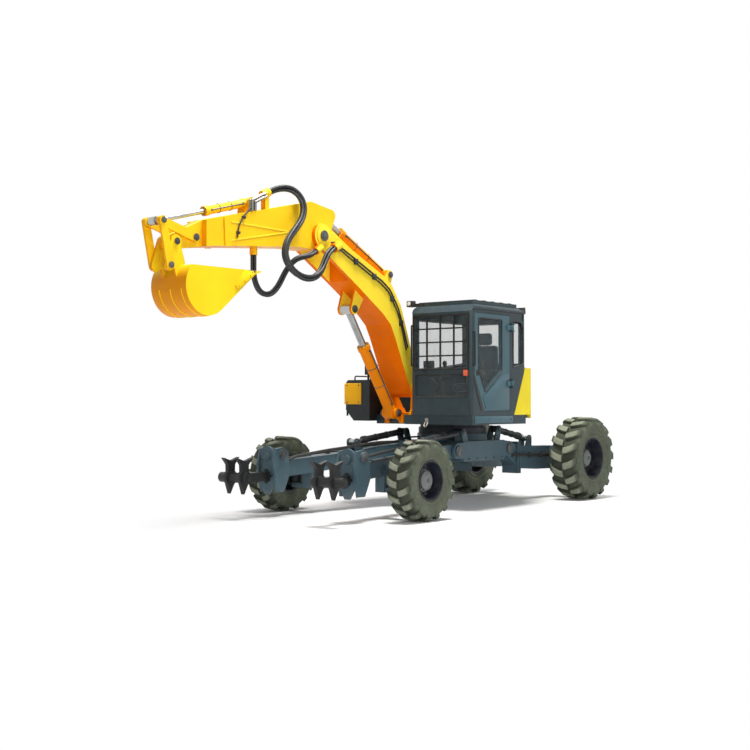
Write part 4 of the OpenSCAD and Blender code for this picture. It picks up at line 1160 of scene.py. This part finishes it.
class EXCAVATOR_OT_leg_fittings(bpy.types.Operator):
    """Run the lines along the legs and fit bolts, caps and collars to legs and claws"""

    bl_idname = "excavator.leg_fittings"
    bl_label = "Leg fittings"

    def king_caps(self, piece, king, s, top, low, thick, r):
        """Covers on both ends of a kingpin, the upper one bolted down."""
        x, y = king[0], king[1] * s
        for z in (top, low):
            piece.bar((x, y, z - 6), (x, y, z + thick), r, 24, 4)
        piece.bolt_ring((x, y, top + thick - 1), (0, 0, 1), r - 16, 6, 8)

    def front_leg(self, body, side, s):
        """Bolts, lines and claw collars of a front leg."""
        piece = Piece("front_leg_bolts_%s" % side)
        self.king_caps(piece, FRONT_KING, s, 700, 332, 12, 56)
        for y in (CLAW_Y - 105, CLAW_Y + 105):
            for z in (560, 660, 760):
                piece.bolt((3270, y * s, z), (1, 0, 0), 13)
        piece.bolt_ring((3300, CLAW_Y * s, 800), (1, 0, 0), 45, 6, 8)
        piece.pin_caps((3140, 830), CLAW_Y * s, 178, 66)
        piece.pin_caps(FRONT_LIFT[1], FRONT_LIFT_Y * s, 78, 40, 10)
        piece.done(body, "pin_steel")

        piece = Piece("front_leg_lines_%s" % side)
        for out in (74, 98):
            xs = (830, 1000, 1300, 1600, 1900, 2250, 2600, 2900)
            piece.tube([(x, (leg_middle(x) + out) * s, leg_top(x) + 14) for x in xs]
                + [(2990, (CLAW_Y + out) * s, 700)], 11)
        # A thicker line that rises off the leg between its ends
        first, last = 900, 2880
        points = []
        for x in (first, 1100, 1300, 1600, 1900, 2250, 2600, last):
            arch = 40 * math.sin(math.pi * (x - first) / (last - first))
            points.append((x, (leg_middle(x) - 112) * s, leg_top(x) + 34 + arch))
        piece.tube(points + [(2985, 600 * s, 720)], 21, 16)
        for x in (1150, 2050, 2500, 2850):
            y, z = leg_middle(x), leg_top(x)
            piece.block((x, (y + 60) * s, z - 6), (x + 40, (y + 112) * s, z + 30), 3)
        piece.done(body, "trim_rubber", 35)

        piece = Piece("claw_collars_%s" % side)
        x, z = CLAW_BAR
        for y in (606, 674, 856, 924):
            piece.bar((x, (y - 6) * s, z), (x, (y + 6) * s, z), 84, 28, 5)
        for y in (552, 1048):
            piece.bar((x, y * s, z), (x, (y + 6) * s, z), 40, 24, 2)
        piece.bar((3268, CLAW_Y * s, z), (3300, CLAW_Y * s, z), 96, 4, 4)
        piece.done(body, "black_paint", 35)

    def rear_leg(self, body, side, s):
        """Bolts and lines of a rear leg."""
        piece = Piece("rear_leg_bolts_%s" % side)
        self.king_caps(piece, REAR_KING, s, 820, 452, 10, 58)
        for y in (322, 578):
            for z in (470, 560, 650, 740, 830, 890):
                piece.bar((-992, y * s, z), (-886, y * s, z), 10, 6, 2)
        piece.pin_caps(REAR_LIFT[1], REAR_LIFT_Y * s, 78, 40, 10)
        piece.done(body, "pin_steel")

        piece = Piece("rear_leg_lines_%s" % side)
        for z in (690, 720):
            piece.tube([(-760, 572 * s, z), (-870, 600 * s, z + 10), (-1060, 600 * s, z + 10),
                (-1200, 574 * s, z - 10), (-1900, 574 * s, z - 20), (-1960, 610 * s, z - 30)], 11)
        for x in (-1280, -1620, -1840):
            piece.block((x, 556 * s, 655), (x + 40, 590 * s, 735), 3)
        piece.done(body, "trim_rubber", 35)

    def execute(self, context):
        for side, s in SIDES:
            self.front_leg("front_%s_leg" % side, side, s)
            self.rear_leg("rear_%s_leg" % side, side, s)
            for end, x, track, d, w, *_ in WHEELS:
                piece = Piece("%s_motor_bolts_%s" % (end, side))
                face = track - w / 2 - 1
                piece.bolt_ring((x, face * s, d / 2), (0, -s, 0), MOTOR_RING[end], 10, 12)
                piece.done("%s_%s_knuckle" % (end, side), "pin_steel")
        return {"FINISHED"}


def beside(ends, along, off=0.0, y=0.0):
    """A place along the line of a cylinder, off it in its plane and beside it."""
    p, q = [Vector((x, 0, z)) for x, z in ends]
    d = (q - p).normalized()
    return p + d * along + Vector((-d.z, 0, d.x)) * off + Vector((0, y, 0))


class EXCAVATOR_OT_cylinder_fittings(bpy.types.Operator):
    """Fit ports, feed tubes and gland bolts to the cylinders"""

    bl_idname = "excavator.cylinder_fittings"
    bl_label = "Cylinder fittings"

    def execute(self, context):
        # Name, ends, sideways place, radius and length of the tube, and the side of its feed
        rows = [("boom", BOOM_LIFT, BOOM_Y, 82, 1150, 1), ("arm", ARM_LIFT, BOOM_Y, 70, 1120, 1),
            ("bucket", BUCKET_LIFT, BOOM_Y, 52, 770, 1)]
        for side, s in SIDES:
            rows += [("front_%s" % side, FRONT_LIFT, FRONT_LIFT_Y * s, 46, 960, s),
                ("rear_%s" % side, REAR_LIFT, REAR_LIFT_Y * s, 46, 690, s)]
        turns = [math.tau * k / 40 for k in range(40)]
        for name, ends, y, r, length, s in rows:
            body = "%s_barrel" % name
            small = r / 82
            foot, head = r + 70, length - 92
            inner, outer = y + s * (r - 4), y + s * (r + 11)
            piece = Piece("%s_feed" % name)
            piece.tube([beside(ends, along, 0, out) for along, out in ((foot, inner), (foot, outer), (head, outer),
                (head, inner))], 6 + 4 * small)
            for along in (foot, head):
                piece.bar(beside(ends, along, 0, y + s * (r - 6)), beside(ends, along, 0, y + s * (r + 8)),
                    12 + 10 * small, 6, 2)
            # Two bands round the tube
            for share in (0.42, 0.68):
                piece.tube([beside(ends, length * share, (r + 1) * math.cos(t), y + (r + 1) * math.sin(t))
                    for t in turns], 6, 8, True)
            piece.done(body, "pin_steel", 35)
            piece = Piece("%s_gland" % name)
            way = (beside(ends, 100) - beside(ends, 0)).normalized()
            piece.bolt_ring(beside(ends, length, 0, y), way, r - 8, 8, 5 + 4 * small, 0.5)
            piece.done(body, "pin_steel", 35)
        return {"FINISHED"}


class EXCAVATOR_OT_boom_fittings(bpy.types.Operator):
    """Fit pin caps, bosses, steel lines and clips to the boom"""

    bl_idname = "excavator.boom_fittings"
    bl_label = "Boom fittings"

    def execute(self, context):
        piece = Piece("boom_bosses")
        x, z = ARM_PIN
        for s in (1, -1):
            y = BOOM_Y + 230 * s
            piece.bar((x, y - 4 * s, z), (x, y + 9 * s, z), 128, 48, 3)
        piece.done("boom", "boom_paint_and_light")
        piece = Piece("boom_pin_caps")
        piece.pin_caps(ARM_PIN, BOOM_Y, 250, 72)
        piece.pin_caps(BOOM_LIFT[1], BOOM_Y, 126, 54)
        piece.pin_caps(ARM_LIFT[0], BOOM_Y, 128, 46)
        piece.done("boom", "pin_steel")
        piece = Piece("boom_lines")
        for c in (0, 34):
            piece.tube([(940 + c, -118, 2300 - c), (1080 + c, -118, 2670), (1165 + c, -118, 2860 - c),
                (1352 + c, -118, 3105 - c), (1520 + c, -118, 3208 - c), (2230 + c, -118, 3515 - c),
                (2560, -118, 3655 - c), (2650, -100, 3640 - 2 * c)], 11)
        for x, z in ((1085, 2650), (1290, 2985), (1700, 3265), (2100, 3440), (2440, 3588)):
            piece.block((x - 20, -132, z - 45), (x + 50, -100, z + 35), 4)
        piece.done("boom", "trim_rubber", 35)
        return {"FINISHED"}


class EXCAVATOR_OT_arm_fittings(bpy.types.Operator):
    """Fit pin caps, weld strips and lines to the arm and its linkage"""

    bl_idname = "excavator.arm_fittings"
    bl_label = "Arm fittings"

    def execute(self, context):
        piece = Piece("arm_strips")
        for s in (1, -1):
            for a, b in (((3400, 3712), (4420, 3722)), ((3400, 3704), (4440, 3490))):
                c, d = Vector((a[0], 0, a[1])), Vector((b[0], 0, b[1]))
                n = (d - c).normalized().cross(Vector((0, 1, 0))) * 9
                piece.side_plate([(p.x, p.z) for p in (c - n, d - n, d + n, c + n)], BOOM_Y + 167 * s, 9 * s, 2)
        piece.done("arm", "boom_paint_and_light")
        piece = Piece("arm_pin_caps")
        piece.pin_caps(ROCKER_PIN, BOOM_Y, 136, 44, 8)
        piece.pin_caps(BUCKET_LIFT[0], BOOM_Y, 106, 42, 10)
        piece.done("arm", "pin_steel")
        for name, body, pin, half, r in (("rocker_pin_caps", "rocker", BUCKET_LIFT[1], 173, 38),
                ("link_pin_caps", "bucket_link", LINK_PIN, 175, 40),
                ("bucket_pin_caps", "bucket", BUCKET_PIN, 144, 42)):
            piece = Piece(name)
            piece.pin_caps(pin, BOOM_Y, half, r, 8)
            piece.done(body, "pin_steel")
        piece = Piece("arm_lines")
        piece.tube([(4050, -196, 3960), (4130, -178, 3900), (4230, -176, 3800), (4300, -176, 3690),
            (4330, -176, 3540)], 10)
        for x, z in ((4215, 3800), (4310, 3600)):
            piece.block((x - 26, -193, z - 16), (x + 26, -163, z + 16), 3)
        piece.done("arm", "trim_rubber", 35)
        return {"FINISHED"}


class EXCAVATOR_OT_bucket_fittings(bpy.types.Operator):
    """Fit wear straps, side cutters and tooth adapters to the bucket"""

    bl_idname = "excavator.bucket_fittings"
    bl_label = "Bucket fittings"

    def execute(self, context):
        piece = Piece("bucket_straps")
        x, z = BUCKET_BACK
        start, sweep = math.radians(-8), math.radians(112)
        # Radius and sideways place of the corners of a strap
        section = ((346, -35), (346, 35), (359, 30), (359, -30))
        for y in (BOOM_Y - 190, BOOM_Y, BOOM_Y + 190):
            piece.clear()
            bpy.ops.mesh.primitive_plane_add(size=1)
            bm = bmesh.from_edit_mesh(piece.obj.data)
            face = next(f for f in bm.faces if f.select)
            for v, (r, w) in zip(face.verts, section):
                v.co = at(x + r * math.cos(start), y + w, z + r * math.sin(start))
            bmesh.update_edit_mesh(piece.obj.data)
            bpy.ops.mesh.spin(steps=28, angle=sweep, center=at(x, y, z), axis=(0, -1, 0))
            bpy.ops.mesh.select_all(action="SELECT")
            bpy.ops.mesh.normals_make_consistent(inside=False)
        piece.done("bucket", "bucket_paint_and_light", 35)
        piece = Piece("side_cutters")
        for s in (1, -1):
            piece.side_plate(((4330, 3126), (4180, 3128), (4150, 3094), (4330, 2962), (4440, 2880), (4490, 2925)),
                BOOM_Y + 303 * s, 14 * s, 4)
            for x, z in ((4230, 3070), (4330, 3000), (4420, 2930)):
                piece.bolt((x, BOOM_Y + 317 * s, z), (0, s, 0), 12)
        piece.done("bucket", "bucket_paint_and_light", 35)
        piece = Piece("tooth_adapters")
        for k in range(5):
            y = BOOM_Y - 275 + k * 137.5
            piece.side_plate(((4260, 3048), (4260, 3134), (4150, 3140), (4130, 3122), (4150, 3086)), y - 36, 72, 5)
            piece.bar((4195, y - 42, 3112), (4195, y + 42, 3112), 11, 12, 2)
        piece.done("bucket", "pin_steel", 35)
        return {"FINISHED"}


class EXCAVATOR_PT_panel(bpy.types.Panel):
    """Lists the colours, the sizes and the steps in the sidebar"""

    bl_idname = "EXCAVATOR_PT_panel"
    bl_label = "Excavator"
    bl_space_type = "VIEW_3D"
    bl_region_type = "UI"
    bl_category = "Excavator"

    def draw(self, context):
        for group in (context.scene.excavator_colours, context.scene.excavator_sizes):
            for name in type(group).__annotations__:
                self.layout.prop(group, name)
        for step in STEPS:
            self.layout.operator(step.bl_idname)


STEPS = (EXCAVATOR_OT_stage, EXCAVATOR_OT_finishes, EXCAVATOR_OT_hoses, EXCAVATOR_OT_tyres, EXCAVATOR_OT_wheels,
    EXCAVATOR_OT_cab_trim, EXCAVATOR_OT_cab_room, EXCAVATOR_OT_house_fittings, EXCAVATOR_OT_chassis_fittings,
    EXCAVATOR_OT_leg_fittings, EXCAVATOR_OT_cylinder_fittings, EXCAVATOR_OT_boom_fittings, EXCAVATOR_OT_arm_fittings,
    EXCAVATOR_OT_bucket_fittings)
CLASSES = (ExcavatorColours, ExcavatorSizes, *STEPS, EXCAVATOR_PT_panel)


def register():
    for item in CLASSES:
        bpy.utils.register_class(item)
    bpy.types.Scene.excavator_colours = bpy.props.PointerProperty(type=ExcavatorColours)
    bpy.types.Scene.excavator_sizes = bpy.props.PointerProperty(type=ExcavatorSizes)


def unregister():
    del bpy.types.Scene.excavator_sizes
    del bpy.types.Scene.excavator_colours
    for item in reversed(CLASSES):
        bpy.utils.unregister_class(item)


def main():
    register()
    for step in STEPS:
        group, name = step.bl_idname.split(".")
        getattr(getattr(bpy.ops, group), name)()


if __name__ == "__main__":
    main()
